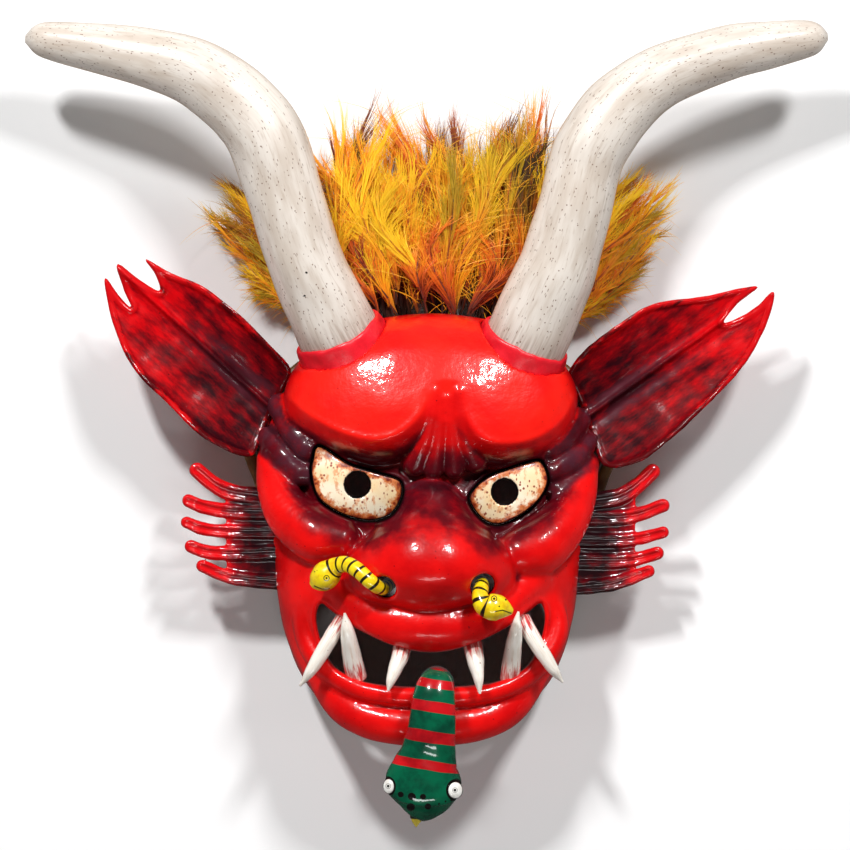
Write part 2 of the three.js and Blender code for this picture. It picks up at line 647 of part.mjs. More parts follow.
// Each layer: lowest and highest level, share of the full length, and how many are left out at either end.
const CREST_LAYERS = [[8, 24, 1, 0], [23, 38, 0.93, 0], [37, 52, 0.8, 1]];
const TUFT_LAYERS = [[6, 18, 1, 0], [17, 30, 0.88, 0]];
const FEATHERS = {
  feather_crest: [
    [[-60, 56], [-84, 196], 22], [[-48, 60], [-38, 233], 24], [[-28, 62], [-16, 216], 23],
    [[-8, 64], [6, 227], 23],
    [[14, 64], [30, 234], 24], [[36, 60], [60, 226], 24], [[54, 56], [86, 238], 22],
  ],
  feather_tuft_left: [
    [[-76, 46], [-165, 156], 21], [[-72, 50], [-146, 190], 20], [[-80, 42], [-136, 112], 17],
  ],
  feather_tuft_right: [
    [[82, 42], [184, 160], 21], [[78, 48], [168, 190], 20], [[86, 38], [156, 116], 17],
  ],
};

// Back shell: right half of the rim outline.
const BACK_SIDES = 44;
const BACK_HALF = [
  [3, 76], [40, 72], [78, 58], [112, 32], [134, 2], [139, -22], [130, -48], [116, -92],
  [104, -140], [84, -184],
  [50, -213], [3, -222],
];

// The moulded face, open at the back, with its mouth, eye, nostril and horn openings.
const floorBlock = new THREE.BoxGeometry(SPREAD, SPREAD, 2 * HIGH);
const floorCut = solid(floorBlock.translate(0, 0, BACK_DEPTH + GAP - HIGH));
const headSolid = solid(await thinned(moulded(head, OUTER_CELL), OUTER_POINTS)).subtract(floorCut);
const cavity = largest(solid(await thinned(moulded(hollow, INNER_CELL), INNER_POINTS)));
const mouthCut = prism(MOUTH, BACK_DEPTH, HIGH, true, MOUTH_SIDES);
const hornSocket = (horn) => loft(horn, HORN_SIDES, 2, COLLAR_WALL + GAP, 0, SOCKET_END);
const face = largest(headSolid
  .subtract(cavity)
  .subtract(mouthCut)
  .subtract(prism(widened(EYE_LEFT, GAP), BACK_DEPTH, HIGH, true, EYE_SIDES))
  .subtract(prism(widened(EYE_RIGHT, GAP), BACK_DEPTH, HIGH, true, EYE_SIDES))
  .subtract(loft(NOSTRIL_LEFT, NOSTRIL_SIDES, 3))
  .subtract(loft(NOSTRIL_RIGHT, NOSTRIL_SIDES, 3))
  .subtract(hornSocket(HORN_LEFT))
  .subtract(hornSocket(HORN_RIGHT)));

const backOutline = mirrored(BACK_HALF);
const backShell = prism(backOutline, 0, BACK_DEPTH, true, BACK_SIDES)
  .subtract(prism(widened(backOutline, -BACK_WALL), -1, HIGH, true, BACK_SIDES));
const backKeepOut = prism(widened(backOutline, GAP), -1, BACK_DEPTH + GAP, true, BACK_SIDES);

// An eye: a domed plate with a round hole for the pupil.
function eye(outline, pupil) {
  const at = [pupil[0], pupil[1], EYE_DOME.z];
  const inner = EYE_DOME.size.map((s) => s - EYE_WALL);
  const hole = new THREE.CylinderGeometry(PUPIL_RADIUS, PUPIL_RADIUS, HIGH, 16).rotateX(Math.PI / 2);
  return largest(prism(outline, EYE_DOME.z + EYE_SKIRT, HIGH, true, EYE_SIDES)
    .intersect(ball(at, EYE_DOME.size, 20, 14).subtract(ball(at, inner, 12, 8)))
    .subtract(solid(hole.translate(pupil[0], pupil[1], HIGH / 2))));
}

// A hollow horn, trimmed where it stands on the back shell.
function horn(stations) {
  const bore = loft(stations, 6, 5, -HORN_WALL, 0, BORE_END);
  return largest(hornOutside(stations).subtract(bore).subtract(backKeepOut));
}

function hornOutside(stations) {
  return loft(stations, HORN_SIDES, HORN_RINGS, 0, HORN_ROOT, 1);
}

function collar(stations) {
  const band = loft(stations, HORN_SIDES, 1, COLLAR_WALL, HORN_ROOT, COLLAR_END);
  return largest(band.subtract(grown(hornOutside(stations), GAP)).subtract(backKeepOut));
}

// Places a point along and across an ear: 0 at the root, 1 at the tip, and -1 to 1 from edge to edge.
function earPlace(ear, x, y) {
  const along = [ear.tip[0] - ear.root[0], ear.tip[1] - ear.root[1]];
  const length = Math.hypot(...along);
  const t = ((x - ear.root[0]) * along[0] + (y - ear.root[1]) * along[1]) / length ** 2;
  const across = ((y - ear.root[1]) * along[0] - (x - ear.root[0]) * along[1]) / (length * ear.half);
  return [t, across];
}

function ear(shape) {
  const xs = shape.outline.map((p) => p[0]);
  const ys = shape.outline.map((p) => p[1]);
  const height = (x, y) => {
    const [t, across] = earPlace(shape, x, y);
    const bowl = shape.cup * across ** 2 * (1 - CUP_FADE * clamp(t, 0, 1));
    const rib = EAR_RIB.height * Math.exp(-((across / EAR_RIB.half) ** 2));
    return shape.rootZ + shape.lift * t + bowl + rib;
  };
  const low = [Math.min(...xs) - MARGIN, Math.min(...ys) - MARGIN];
  const high = [Math.max(...xs) + MARGIN, Math.max(...ys) + MARGIN];
  return sheet(low, high, EAR_CELLS, height, EAR_THICKNESS).intersect(prism(shape.outline, 0, HIGH, false));
}

// Outline of a fin, with a round end on each prong.
function finOutline(fin) {
  const side = Math.sign(fin.tips[0][0]);
  const outline = [[fin.top[0] - side * FIN_ROOT, fin.top[1]], fin.top];
  fin.tips.forEach(([x, y], i) => {
    const lower = fin.notches[i] || fin.bottom;
    const upper = fin.notches[i - 1] || fin.top;
    const back = Math.atan2((upper[1] + lower[1]) / 2 - y, (upper[0] + lower[0]) / 2 - x);
    const centre = [x + PRONG_RADIUS * Math.cos(back), y + PRONG_RADIUS * Math.sin(back)];
    for (const turn of [90, 135, 180, 225, 270]) {
      const angle = back - side * THREE.MathUtils.degToRad(turn);
      const round = [PRONG_RADIUS * Math.cos(angle), PRONG_RADIUS * Math.sin(angle)];
      outline.push([centre[0] + round[0], centre[1] + round[1]]);
    }
    outline.push(lower);
  });
  outline.push([fin.bottom[0] - side * FIN_ROOT, fin.bottom[1]]);
  return outline;
}

function fin(shape) {
  const outline = finOutline(shape);
  const rootX = shape.top[0];
  const reach = Math.max(...shape.tips.map((p) => Math.abs(p[0] - rootX)));
  const height = (x) => mix(shape.rootZ, shape.tipZ, clamp(Math.abs(x - rootX) / reach, 0, 1) ** 2);
  const xs = outline.map((p) => p[0]);
  const ys = outline.map((p) => p[1]);
  const low = [Math.min(...xs) - MARGIN, Math.min(...ys) - MARGIN];
  const high = [Math.max(...xs) + MARGIN, Math.max(...ys) + MARGIN];
  return sheet(low, high, FIN_CELLS, height, FIN_THICKNESS).intersect(prism(outline, 0, HIGH, false));
}

function flattened(body, about, share) {
  return body.translate(0, 0, -about).scale([1, 1, share]).translate(0, 0, about);
}

// A blade of a feather in one layer, pointed at its tip.
function feather([root, tip, half], [low, high, share]) {
  const length = Math.hypot(tip[0] - root[0], tip[1] - root[1]) * share;
  const edge = BLADE_EDGE.map(([t, w]) => [length * t, half * w]);
  const outline = [...edge.map(([x, y]) => [x, -y]), [length, 0], ...edge.reverse()];
  const shape = new THREE.Shape(outline.map(([x, y]) => new THREE.Vector2(x, y)));
  const blade = new THREE.ExtrudeGeometry(shape, { depth: high - low, bevelEnabled: false });
  const turned = blade.rotateZ(Math.atan2(tip[1] - root[1], tip[0] - root[0]));
  return solid(turned.translate(root[0], root[1], low));
}

function featherFan(list, layers) {
  const blades = layers.flatMap((layer) => {
    const out = layer[3];
    return list.slice(out, list.length - out).map((f) => feather(f, layer));
  });
  return blades.reduce((all, blade) => all.add(blade));
}

const mask = new THREE.Group();
mask.name = "devil_mask";

function add(name, body, finish) {
  const mesh = new THREE.Mesh(geometryOf(body), new THREE.MeshStandardMaterial(finish));
  mesh.name = name;
  mask.add(mesh);
}

const keepOut = grown(face, GAP).add(backKeepOut);
const seated = (body) => largest(body.subtract(keepOut));

add("face", face, RED);
add("back_shell", backShell, OLIVE_BROWN);
add("eye_left", eye(EYE_LEFT, PUPIL_LEFT), CREAM);
add("eye_right", eye(EYE_RIGHT, PUPIL_RIGHT), CREAM);
add("horn_left", horn(HORN_LEFT), BONE);
add("horn_right", horn(HORN_RIGHT), BONE);
add("horn_collar_left", collar(HORN_LEFT), PINK_RED);
add("horn_collar_right", collar(HORN_RIGHT), PINK_RED);
add("ear_left", seated(ear(EAR_LEFT)), DARK_RED);
add("ear_right", seated(ear(EAR_RIGHT)), DARK_RED);
add("cheek_fin_left", seated(fin(FIN_LEFT)), RED);
add("cheek_fin_right", seated(fin(FIN_RIGHT)), RED);
for (const [name, stations] of Object.entries(FANGS)) {
  add(name, seated(loft(stations, FANG_SIDES, FANG_RINGS)), IVORY);
}
const tongueBody = loft(TONGUE_SNAKE, HORN_SIDES, SNAKE_RINGS.tongue);
const tongue = flattened(tongueBody, TONGUE_SNAKE[5][2], TONGUE_FLAT);
add("tongue_snake", seated(tongue), GREEN);
add("nostril_snake_left", seated(loft(NOSTRIL_SNAKE_LEFT, SNAKE_SIDES, SNAKE_RINGS.left)), YELLOW);
add("nostril_snake_right", seated(loft(NOSTRIL_SNAKE_RIGHT, SNAKE_SIDES, SNAKE_RINGS.right)), YELLOW);
const hornKeepOut = [HORN_LEFT, HORN_RIGHT]
  .map((stations) => hornSocket(stations).add(grown(hornOutside(stations), GAP)))
  .reduce((all, body) => all.add(body));
const crest = largest(seated(featherFan(FEATHERS.feather_crest, CREST_LAYERS)).subtract(hornKeepOut));
const tuftKeepOut = hornKeepOut.add(grown(crest, GAP));
add("feather_crest", crest, ORANGE);
for (const name of ["feather_tuft_left", "feather_tuft_right"]) {
  add(name, largest(seated(featherFan(FEATHERS[name], TUFT_LAYERS)).subtract(tuftKeepOut)), ORANGE);
}

export default mask;
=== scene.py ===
"""A horned devil dance mask lying on its back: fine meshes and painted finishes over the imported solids."""
import math

import bpy
import numpy as np
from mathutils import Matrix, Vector


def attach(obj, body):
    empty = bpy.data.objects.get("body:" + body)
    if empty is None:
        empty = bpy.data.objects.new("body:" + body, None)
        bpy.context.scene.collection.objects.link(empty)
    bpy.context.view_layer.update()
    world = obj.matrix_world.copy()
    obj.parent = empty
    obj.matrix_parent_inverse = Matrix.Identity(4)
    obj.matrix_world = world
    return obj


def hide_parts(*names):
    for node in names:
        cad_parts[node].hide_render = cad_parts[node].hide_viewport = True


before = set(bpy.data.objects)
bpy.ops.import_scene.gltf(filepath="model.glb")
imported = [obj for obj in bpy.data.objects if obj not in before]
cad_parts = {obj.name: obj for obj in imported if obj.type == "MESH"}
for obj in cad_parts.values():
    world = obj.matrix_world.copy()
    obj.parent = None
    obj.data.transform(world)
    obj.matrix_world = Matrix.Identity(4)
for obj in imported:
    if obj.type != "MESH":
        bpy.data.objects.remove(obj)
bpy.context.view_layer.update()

# Sizes are in millimetres, as on the solids, and become metres when a mesh is made.
MM = 0.001
MID_X = 3.0  # middle line of the nose and mouth
BODY_X = 0.5  # middle line of the face's outline
FACE_FLOOR = 34.4  # level of the face's back edge
BACK_DEPTH = 34.0
WALL = 7.0
GAP = 0.4
FACE_CELL = 1.75  # sampling step of the face's mesh
BACK_CELL, EYE_CELL, EAR_CELL, FIN_CELL = 2.6, 1.1, 1.22, 1.05  # the same for the other moulded pieces
ROLL_STEPS = 6  # parts that each stretch of a roll is made of
FAR = 9.0  # paint distance where a piece has no mark
rng = np.random.default_rng(11)


# Measures of a form: each gives the distance from points to a surface, negative inside.
def blend(a, b, radius):
    h = np.maximum(radius - np.abs(a - b), 0) / radius
    return np.minimum(a, b) - h * h * radius * 0.25


def trim(a, b, radius):
    return -blend(-a, -b, radius)


def smooth(value, low, high):
    t = np.clip((value - low) / (high - low), 0, 1)
    return t * t * (3 - 2 * t)


def fade(value, low, high):
    return 1 - smooth(value, low, high)


def ridge(value, at, width):
    """A bell-shaped rise to 1 where the value is the given one."""
    return np.exp(-(((value - at) / width) ** 2))


def spot(x, y, at, size):
    """A bell-shaped rise to 1 at a place in the plane."""
    return ridge(x, at[0], size[0]) * ridge(y, at[1], size[1])


def ellipsoid(x, y, z, at, size):
    px, py, pz = (x - at[0]) / size[0], (y - at[1]) / size[1], (z - at[2]) / size[2]
    k0 = np.sqrt(px**2 + py**2 + pz**2)
    k1 = np.sqrt((px / size[0]) ** 2 + (py / size[1]) ** 2 + (pz / size[2]) ** 2)
    return k0 * (k0 - 1) / np.maximum(k1, 1e-9)


def roll(x, y, z, stations):
    """A chain of [x, y, z, radius] stations with a round section."""
    nearest = None
    for (ax, ay, az, ar), (bx, by, bz, br) in zip(stations, stations[1:]):
        dx, dy, dz = bx - ax, by - ay, bz - az
        t = ((x - ax) * dx + (y - ay) * dy + (z - az) * dz) / (dx * dx + dy * dy + dz * dz)
        t = np.clip(t, 0, 1)
        gap = np.sqrt((x - ax - t * dx) ** 2 + (y - ay - t * dy) ** 2 + (z - az - t * dz) ** 2)
        gap = gap - (ar + (br - ar) * t)
        nearest = gap if nearest is None else np.minimum(nearest, gap)
    return nearest


def nearest_roll(x, y, z, lines):
    return np.min([roll(x, y, z, line) for line in lines], axis=0)


def spline(points, t):
    """Points on a smooth curve through the given ones, t from 0 to 1."""
    points = np.asarray(points, float)
    ends = np.vstack([2 * points[0] - points[1], points, 2 * points[-1] - points[-2]])
    place = np.clip(np.asarray(t, float), 0, 1) * (len(points) - 1)
    i = np.minimum(place.astype(int), len(points) - 2)
    f = (place - i)[..., None]
    a, b, c, d = (ends[i + n] for n in range(4))
    return b + 0.5 * f * (c - a + f * (2 * a - 5 * b + 4 * c - d + f * (3 * (b - c) + d - a)))


def chain(stations, steps=ROLL_STEPS):
    """A roll's stations with smooth ones added between them."""
    return spline(stations, np.linspace(0, 1, steps * (len(stations) - 1) + 1)).tolist()


def closed_curve(points, count):
    """An even closed curve through the given points."""
    ring = np.vstack([points[-2:], points, points[:3]]).astype(float)
    t = np.linspace(2, 2 + len(points), count, endpoint=False) / (len(ring) - 1)
    return spline(ring, t)


def outline_distance(x, y, ring):
    """Distance in the plane to a closed outline, negative inside."""
    nearest = np.full(np.shape(x), 1e9)
    inside = np.zeros(np.shape(x), bool)
    for (ax, ay), (bx, by) in zip(ring, np.roll(ring, -1, axis=0)):
        dx, dy = bx - ax, by - ay
        t = np.clip(((x - ax) * dx + (y - ay) * dy) / (dx * dx + dy * dy), 0, 1)
        nearest = np.minimum(nearest, (x - ax - t * dx) ** 2 + (y - ay - t * dy) ** 2)
        if ay != by:
            crosses = (ay > y) != (by > y)
            inside ^= crosses & (x < ax + dx * (y - ay) / dy)
    return np.where(inside, -1, 1) * np.sqrt(nearest)


def wobble(x, y, z, size, seed):
    """Smooth unevenness between about -1 and 1, with bumps of the given size."""
    draw = np.random.default_rng(seed)
    total = 0
    for _ in range(5):
        turn = draw.normal(size=3)
        turn *= 2 * math.pi / (size * np.linalg.norm(turn)) * draw.uniform(0.7, 1.4)
        total = total + np.sin(x * turn[0] + y * turn[1] + z * turn[2] + draw.uniform(0, 6.3))
    return total / 3


# Meshes of forms.
CORNERS = [(i, j, k) for i in (0, 1) for j in (0, 1) for k in (0, 1)]
COARSE = 4  # fine steps in one coarse step
NEAR_SURFACE = 2.4  # coarse steps from the surface within which values are worked out finely
SLOPE_STEP = 0.25
SETTLE_PASSES = 3
SETTLE_REACH = 0.8  # share of a cell


def refined(grid, count):
    """A coarse grid's values repeated over the fine steps."""
    for axis in range(3):
        grid = np.repeat(grid, COARSE, axis)
    return grid[: count[0], : count[1], : count[2]].copy()


def sampled(form, low, count, cell):
    """Values of a form on a grid, worked out finely only near its surface."""
    axes = [low[n] + cell * np.arange(count[n]) for n in range(3)]
    rough = np.meshgrid(*[axis[::COARSE] for axis in axes], indexing="ij")
    values = form(*[r.ravel() for r in rough]).reshape(rough[0].shape)
    at = np.argwhere(refined(np.abs(values) < NEAR_SURFACE * COARSE * cell, count))
    values = refined(values, count)
    values[tuple(at.T)] = form(*[axes[n][at[:, n]] for n in range(3)])
    return values


def moulded(form, low, high, cell):
    """Points and quads of a form's surface, one point in each cell that the surface passes through."""
    low = np.array(low, float)
    count = np.ceil((np.array(high) - low) / cell).astype(int) + 2
    values = sampled(form, low, count, cell)
    inside = values < 0
    cells = np.zeros(count - 1, np.int8)
    for corner in CORNERS:
        cells += inside[tuple(slice(c, c + n - 1) for c, n in zip(corner, count))]
    active = np.argwhere((cells > 0) & (cells < len(CORNERS)))
    number = np.full(count - 1, -1)
    number[tuple(active.T)] = np.arange(len(active))
    total = np.zeros((len(active), 3))
    hits = np.zeros(len(active))
    quads = []
    for axis in range(3):
        u, v = (axis + 1) % 3, (axis + 2) % 3
        for a, b in ((0, 0), (1, 0), (0, 1), (1, 1)):
            start = active.copy()
            start[:, u] += a
            start[:, v] += b
            end = start.copy()
            end[:, axis] += 1
            va, vb = values[tuple(start.T)], values[tuple(end.T)]
            cross = (va < 0) != (vb < 0)
            point = start.astype(float)
            point[:, axis] += va / np.where(cross, va - vb, 1)
            total[cross] += point[cross]
            hits += cross
        here, there = (
            inside[tuple(slice(k, n - 1 + k) if d == axis else slice(1, n - 1) for d, n in enumerate(count))]
            for k in (0, 1))
        edge = np.argwhere(here != there)
        out = here[tuple(edge.T)]
        edge = edge + np.array([0 if d == axis else 1 for d in range(3)])
        ring = []
        for a, b in ((0, 0), (1, 0), (1, 1), (0, 1)):
            step = edge.copy()
            step[:, u] -= a
            step[:, v] -= b
            ring.append(number[tuple(step.T)])
        ring = np.stack(ring, 1)
        quads.append(np.where(out[:, None], ring, ring[:, ::-1]))
    points = low + cell * total / hits[:, None]
    return settled(form, points, cell), np.vstack(quads)


def settled(form, points, cell):
    """Moves points onto a form's surface along its slope, by no more than a cell."""
    start = points
    for _ in range(SETTLE_PASSES):
        here = form(*points.T)
        slope = np.stack([form(*(points + SLOPE_STEP * way).T) - here for way in np.eye(3)], 1) / SLOPE_STEP
        steep = np.maximum((slope**2).sum(1), 0.1)
        points = points - slope * (here / steep)[:, None]
        points = start + np.clip(points - start, -SETTLE_REACH * cell, SETTLE_REACH * cell)
    return points


def section_axes(along):
    """Unit directions across and above a path that runs in the given ones."""
    along = along / np.linalg.norm(along, axis=1)[:, None]
    side = np.cross(along, (0, 0, 1))
    side /= np.linalg.norm(side, axis=1)[:, None]
    return side, np.cross(side, along)


def ring_quads(rows, sides, closed=False):
    """Quads between rings of points, and from the last ring to the first where they close up."""
    ring, following = np.arange(sides), np.roll(np.arange(sides), -1)
    faces = []
    for n in range(rows if closed else rows - 1):
        here, there = n * sides, (n + 1) % rows * sides
        faces.extend(np.stack([here + ring, here + following, there + following, there + ring], 1).tolist())
    return faces


def loft(centres, radii, sides, flat=1.0, along=None):
    """Points and faces of a round body along centres, with closed ends, and the turns of a ring's points."""
    side, lift = section_axes(np.gradient(centres, axis=0) if along is None else along)
    turn = np.linspace(0, 2 * math.pi, sides, endpoint=False)
    across = (radii[:, None] * np.cos(turn))[..., None] * side[:, None]
    upward = (radii[:, None] * np.sin(turn))[..., None] * lift[:, None] * flat
    points = (centres[:, None] + across + upward).reshape(-1, 3)
    faces = ring_quads(len(centres), sides)
    last = len(points) - sides
    points = np.vstack([points, centres[:1], centres[-1:]])
    for n in range(sides):
        m = (n + 1) % sides
        faces.append([m, n, len(points) - 2])
        faces.append([last + n, last + m, len(points) - 1])
    return points, faces, turn


def per_ring(values, sides):
    """A value for each ring as one for each point of a loft, its two end points included."""
    values = np.asarray(values, float)
    return np.concatenate([np.repeat(values, sides), values[:1], values[-1:]])


def per_side(turn, rings):
    """The turn of each point of a loft, its two end points included."""
    return np.concatenate([np.tile(turn, rings), [0, 0]])


def lay_of(radii, lengths, turn):
    """Where each point of a loft lies on the straightened body, for streaks that run along it."""
    around, radius = per_side(turn, len(radii)), per_ring(radii, len(turn))
    return np.stack([radius * np.cos(around), radius * np.sin(around), per_ring(lengths, len(turn))], 1)


def run_of(centres):
    """Length of a path from its start to each of its points."""
    return np.concatenate([[0], np.cumsum(np.linalg.norm(np.diff(centres, axis=0), axis=1))])


def roughened(points, amount, size, seeds):
    """Points moved a little every way, by a wobble for each axis."""
    return points + amount * np.stack([wobble(*points.T, size, seed) for seed in seeds], 1)


def piece(name, points, faces, material, node, slot, **paint):
    """A finished piece: its mesh, the paint values of its points, and what it stands for."""
    mesh = bpy.data.meshes.new(name)
    faces = faces if isinstance(faces, list) else faces.tolist()
    mesh.from_pydata((np.asarray(points) * MM).tolist(), [], faces)
    mesh.validate()
    for title, values in paint.items():
        values = np.asarray(values, np.float32)
        kind = ("FLOAT", "value") if values.ndim == 1 else ("FLOAT_VECTOR", "vector")
        layer = mesh.attributes.new(title, kind[0], "POINT")
        layer.data.foreach_set(kind[1], values.ravel())
    mesh.shade_smooth()
    mesh.materials.append(material)
    made = bpy.data.objects.new(name, mesh)
    bpy.context.scene.collection.objects.link(made)
    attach(made, "root")
    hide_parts(node)
    return made


def hollows(points, quads, passes):
    """How deep each point lies in a crease, evened out over its neighbours."""
    count = len(points)
    edges = np.vstack([quads[:, [n, (n + 1) % 4]] for n in range(4)])
    both = np.vstack([edges, edges[:, ::-1]])
    degree = np.maximum(np.bincount(both[:, 0], minlength=count), 1)

    def mean(values):
        return np.bincount(both[:, 0], weights=values[both[:, 1]], minlength=count) / degree

    corners = points[quads]
    face_normal = np.cross(corners[:, 2] - corners[:, 0], corners[:, 3] - corners[:, 1])
    normal = np.zeros_like(points)
    for n in range(4):
        for axis in range(3):
            normal[:, axis] += np.bincount(quads[:, n], weights=face_normal[:, axis], minlength=count)
    normal /= np.maximum(np.linalg.norm(normal, axis=1), 1e-9)[:, None]
    flat = points.copy()
    for _ in range(passes):
        flat = np.stack([mean(flat[:, axis]) for axis in range(3)], 1)
    depth = ((flat - points) * normal).sum(1)
    for _ in range(3):
        depth = mean(depth)
    return depth, normal


# Painted finishes.
class Finish:
    """A material and short calls for the nodes that the finishes share."""

    def __init__(self, name, **sockets):
        self.material = bpy.data.materials.new(name)
        self.material.use_nodes = True
        self.tree = self.material.node_tree
        self.shader = self.tree.nodes["Principled BSDF"]
        for socket, value in sockets.items():
            self.shader.inputs[socket.replace("_", " ")].default_value = value
        self.place = self.tree.nodes.new("ShaderNodeTexCoord").outputs["Object"]

    def feed(self, socket, value):
        if isinstance(value, bpy.types.NodeSocket):
            self.tree.links.new(value, socket)
        else:
            socket.default_value = value

    def put(self, socket, value):
        self.feed(self.shader.inputs[socket], value)

    def color(self, value):
        self.put("Base Color", value)

    def painted(self, name, output="Fac"):
        node = self.tree.nodes.new("ShaderNodeAttribute")
        node.attribute_name = name
        return node.outputs[output]

    def stretched(self, vector, scale):
        node = self.tree.nodes.new("ShaderNodeMapping")
        self.feed(node.inputs["Vector"], vector)
        node.inputs["Scale"].default_value = scale
        return node.outputs["Vector"]

    def noise(self, scale, detail=3.0, rough=0.5, vector=None):
        node = self.tree.nodes.new("ShaderNodeTexNoise")
        self.feed(node.inputs["Vector"], vector or self.place)
        node.inputs["Scale"].default_value = scale
        node.inputs["Detail"].default_value = detail
        node.inputs["Roughness"].default_value = rough
        return node.outputs["Fac"]

    def span(self, value, low, high, to_low=0.0, to_high=1.0):
        node = self.tree.nodes.new("ShaderNodeMapRange")
        node.interpolation_type = "SMOOTHSTEP"
        for socket, given in zip(node.inputs, (value, low, high, to_low, to_high)):
            self.feed(socket, given)
        return node.outputs["Result"]

    def math(self, operation, *values):
        node = self.tree.nodes.new("ShaderNodeMath")
        node.operation = operation
        for socket, given in zip(node.inputs, values):
            self.feed(socket, given)
        return node.outputs["Value"]

    def times(self, a, b):
        return self.math("MULTIPLY", a, b)

    def plus(self, a, b):
        return self.math("ADD", a, b)

    def most(self, a, b):
        return self.math("MAXIMUM", a, b)

    def mix(self, share, a, b):
        node = self.tree.nodes.new("ShaderNodeMix")
        node.data_type = "RGBA"
        for index, given in ((0, share), (6, a), (7, b)):
            self.feed(node.inputs[index], given)
        return node.outputs[2]

    def specks(self, scale, size, chance, vector=None):
        """Scattered dots: near the middle of a cell, and only in some of the cells."""
        node = self.tree.nodes.new("ShaderNodeTexVoronoi")
        self.feed(node.inputs["Vector"], vector or self.place)
        node.inputs["Scale"].default_value = scale
        dot = self.span(node.outputs["Distance"], size, 0.5 * size)
        draw = self.tree.nodes.new("ShaderNodeSeparateColor")
        self.feed(draw.inputs["Color"], node.outputs["Color"])
        return self.times(dot, self.math("LESS_THAN", draw.outputs["Red"], chance))

    def grain(self, scale, detail=4, rough=0.6):
        """Noise that follows the piece's own lay, with a scale for each of its axes."""
        return self.noise(1, detail, rough, self.stretched(self.painted("lay", "Vector"), scale))

    def bump(self, height, strength, distance):
        node = self.tree.nodes.new("ShaderNodeBump")
        node.inputs["Strength"].default_value = strength
        node.inputs["Distance"].default_value = distance
        self.feed(node.inputs["Height"], height)
        for socket in ("Normal", "Coat Normal"):
            self.tree.links.new(node.outputs["Normal"], self.shader.inputs[socket])


def rgb(red, green, blue):
    """A colour from 0 to 255 on screen, as the linear values that the shader takes."""
    screen = np.array([red, green, blue]) / 255
    linear = np.where(screen <= 0.04045, screen / 12.92, ((screen + 0.055) / 1.055) ** 2.4)
    return (*linear.tolist(), 1.0)


BRIGHT_RED = rgb(232, 15, 14)
DEEP_RED = rgb(200, 5, 9)
LIT_FOREHEAD_RED = rgb(246, 32, 21)
BURGUNDY = rgb(96, 4, 16)
GLAZE = rgb(44, 5, 13)
PLUM_SHEEN = rgb(74, 34, 46)
INK = rgb(14, 9, 8)


def face_lacquer():
    f = Finish("red_face_lacquer", Roughness=0.32, Coat_Roughness=0.09, Coat_IOR=1.33)
    cloudy = f.span(f.noise(22, 4, 0.6), 0.35, 0.7)
    red = f.mix(cloudy, BRIGHT_RED, DEEP_RED)
    # Painted light: the forehead's upward-facing plane is painted lighter and more orange.
    red = f.mix(f.painted("light"), red, f.mix(cloudy, LIT_FOREHEAD_RED, BRIGHT_RED))
    blotch = f.times(f.span(f.noise(55, 4, 0.55), 0.3, 0.75, -0.2, 0.2), f.painted("uneven"))
    glaze = f.plus(blotch, f.painted("glaze"))
    red = f.mix(f.span(glaze, 0.02, 0.75), red, BURGUNDY)
    red = f.mix(f.span(glaze, 0.6, 1.15), red, GLAZE)
    # Painted sheen: a plum-grey tint on the tops of the temple rolls and the nose root stands for their
    # glossy reflection.
    plum_sheen = f.times(f.painted("plum_sheen"), f.span(f.noise(48, 4, 0.6), 0.36, 0.64, 0.1, 0.85))
    red = f.mix(plum_sheen, red, PLUM_SHEEN)
    specks = f.most(f.specks(170, 0.13, 0.22), f.specks(330, 0.16, 0.12))
    red = f.mix(f.times(specks, 0.65), red, BURGUNDY)
    inner = f.mix(f.noise(40, 4), rgb(34, 22, 20), rgb(18, 12, 11))
    red = f.mix(f.span(f.painted("rim"), 0.6, 0.85), red, INK)
    f.put("Coat Weight", f.span(f.painted("rim"), 0.0, 0.4, 0.8, 0.0))
    f.put("Specular IOR Level", f.span(f.painted("rim"), 0.0, 0.4, 0.15, 0.0))
    f.color(f.mix(f.span(f.painted("inside"), 0.3, 0.7), red, inner))
    f.put("Roughness", f.span(f.painted("inside"), 0.3, 0.7, 0.32, 0.8))
    f.bump(f.noise(62, 4, 0.6), 0.42, 0.0016)
    return f.material


def ear_lacquer():
    f = Finish("dark_red_ear_lacquer", Specular_IOR_Level=0.06, Roughness=0.45,
               Coat_Roughness=0.14, Coat_IOR=1.36)
    streak = f.grain((0.16, 0.045, 0.05), 5, 0.65)
    patch = f.grain((0.045, 0.028, 0.03))
    mottle = f.plus(f.times(streak, 0.55), f.times(patch, 0.55))
    # The shade value is a painted shade: darker towards the root and in hollows.
    dark = f.plus(mottle, f.painted("shade"))
    red = f.mix(f.span(dark, 0.4, 0.6), rgb(208, 5, 14), rgb(126, 3, 13))
    red = f.mix(f.span(dark, 0.54, 0.74), red, rgb(46, 3, 11))
    # Painted sheen: purple-grey along the rib near the root, where the coat is glossier too.
    bloom = f.times(f.painted("bloom"), f.span(streak, 0.35, 0.6, 0.35, 0.9))
    red = f.mix(bloom, red, rgb(96, 40, 52))
    # The rim darkens where the streaks and the painted shade add up, most towards the root.
    streak_and_shade = f.span(f.plus(streak, f.painted("shade")), 0.46, 0.62)
    edge = f.mix(streak_and_shade, rgb(204, 8, 16), rgb(84, 4, 10))
    red = f.mix(f.span(f.painted("rim"), 0.35, 0.65), red, edge)
    gloss = f.most(f.span(f.painted("rim"), 0.3, 0.7, 0.05, 0.85), f.painted("bloom"))
    f.put("Coat Weight", gloss)
    f.color(f.mix(f.times(f.specks(150, 0.14, 0.25), 0.6), red, GLAZE))
    f.bump(f.grain((0.2, 0.05, 0.1)), 0.3, 0.0012)
    return f.material


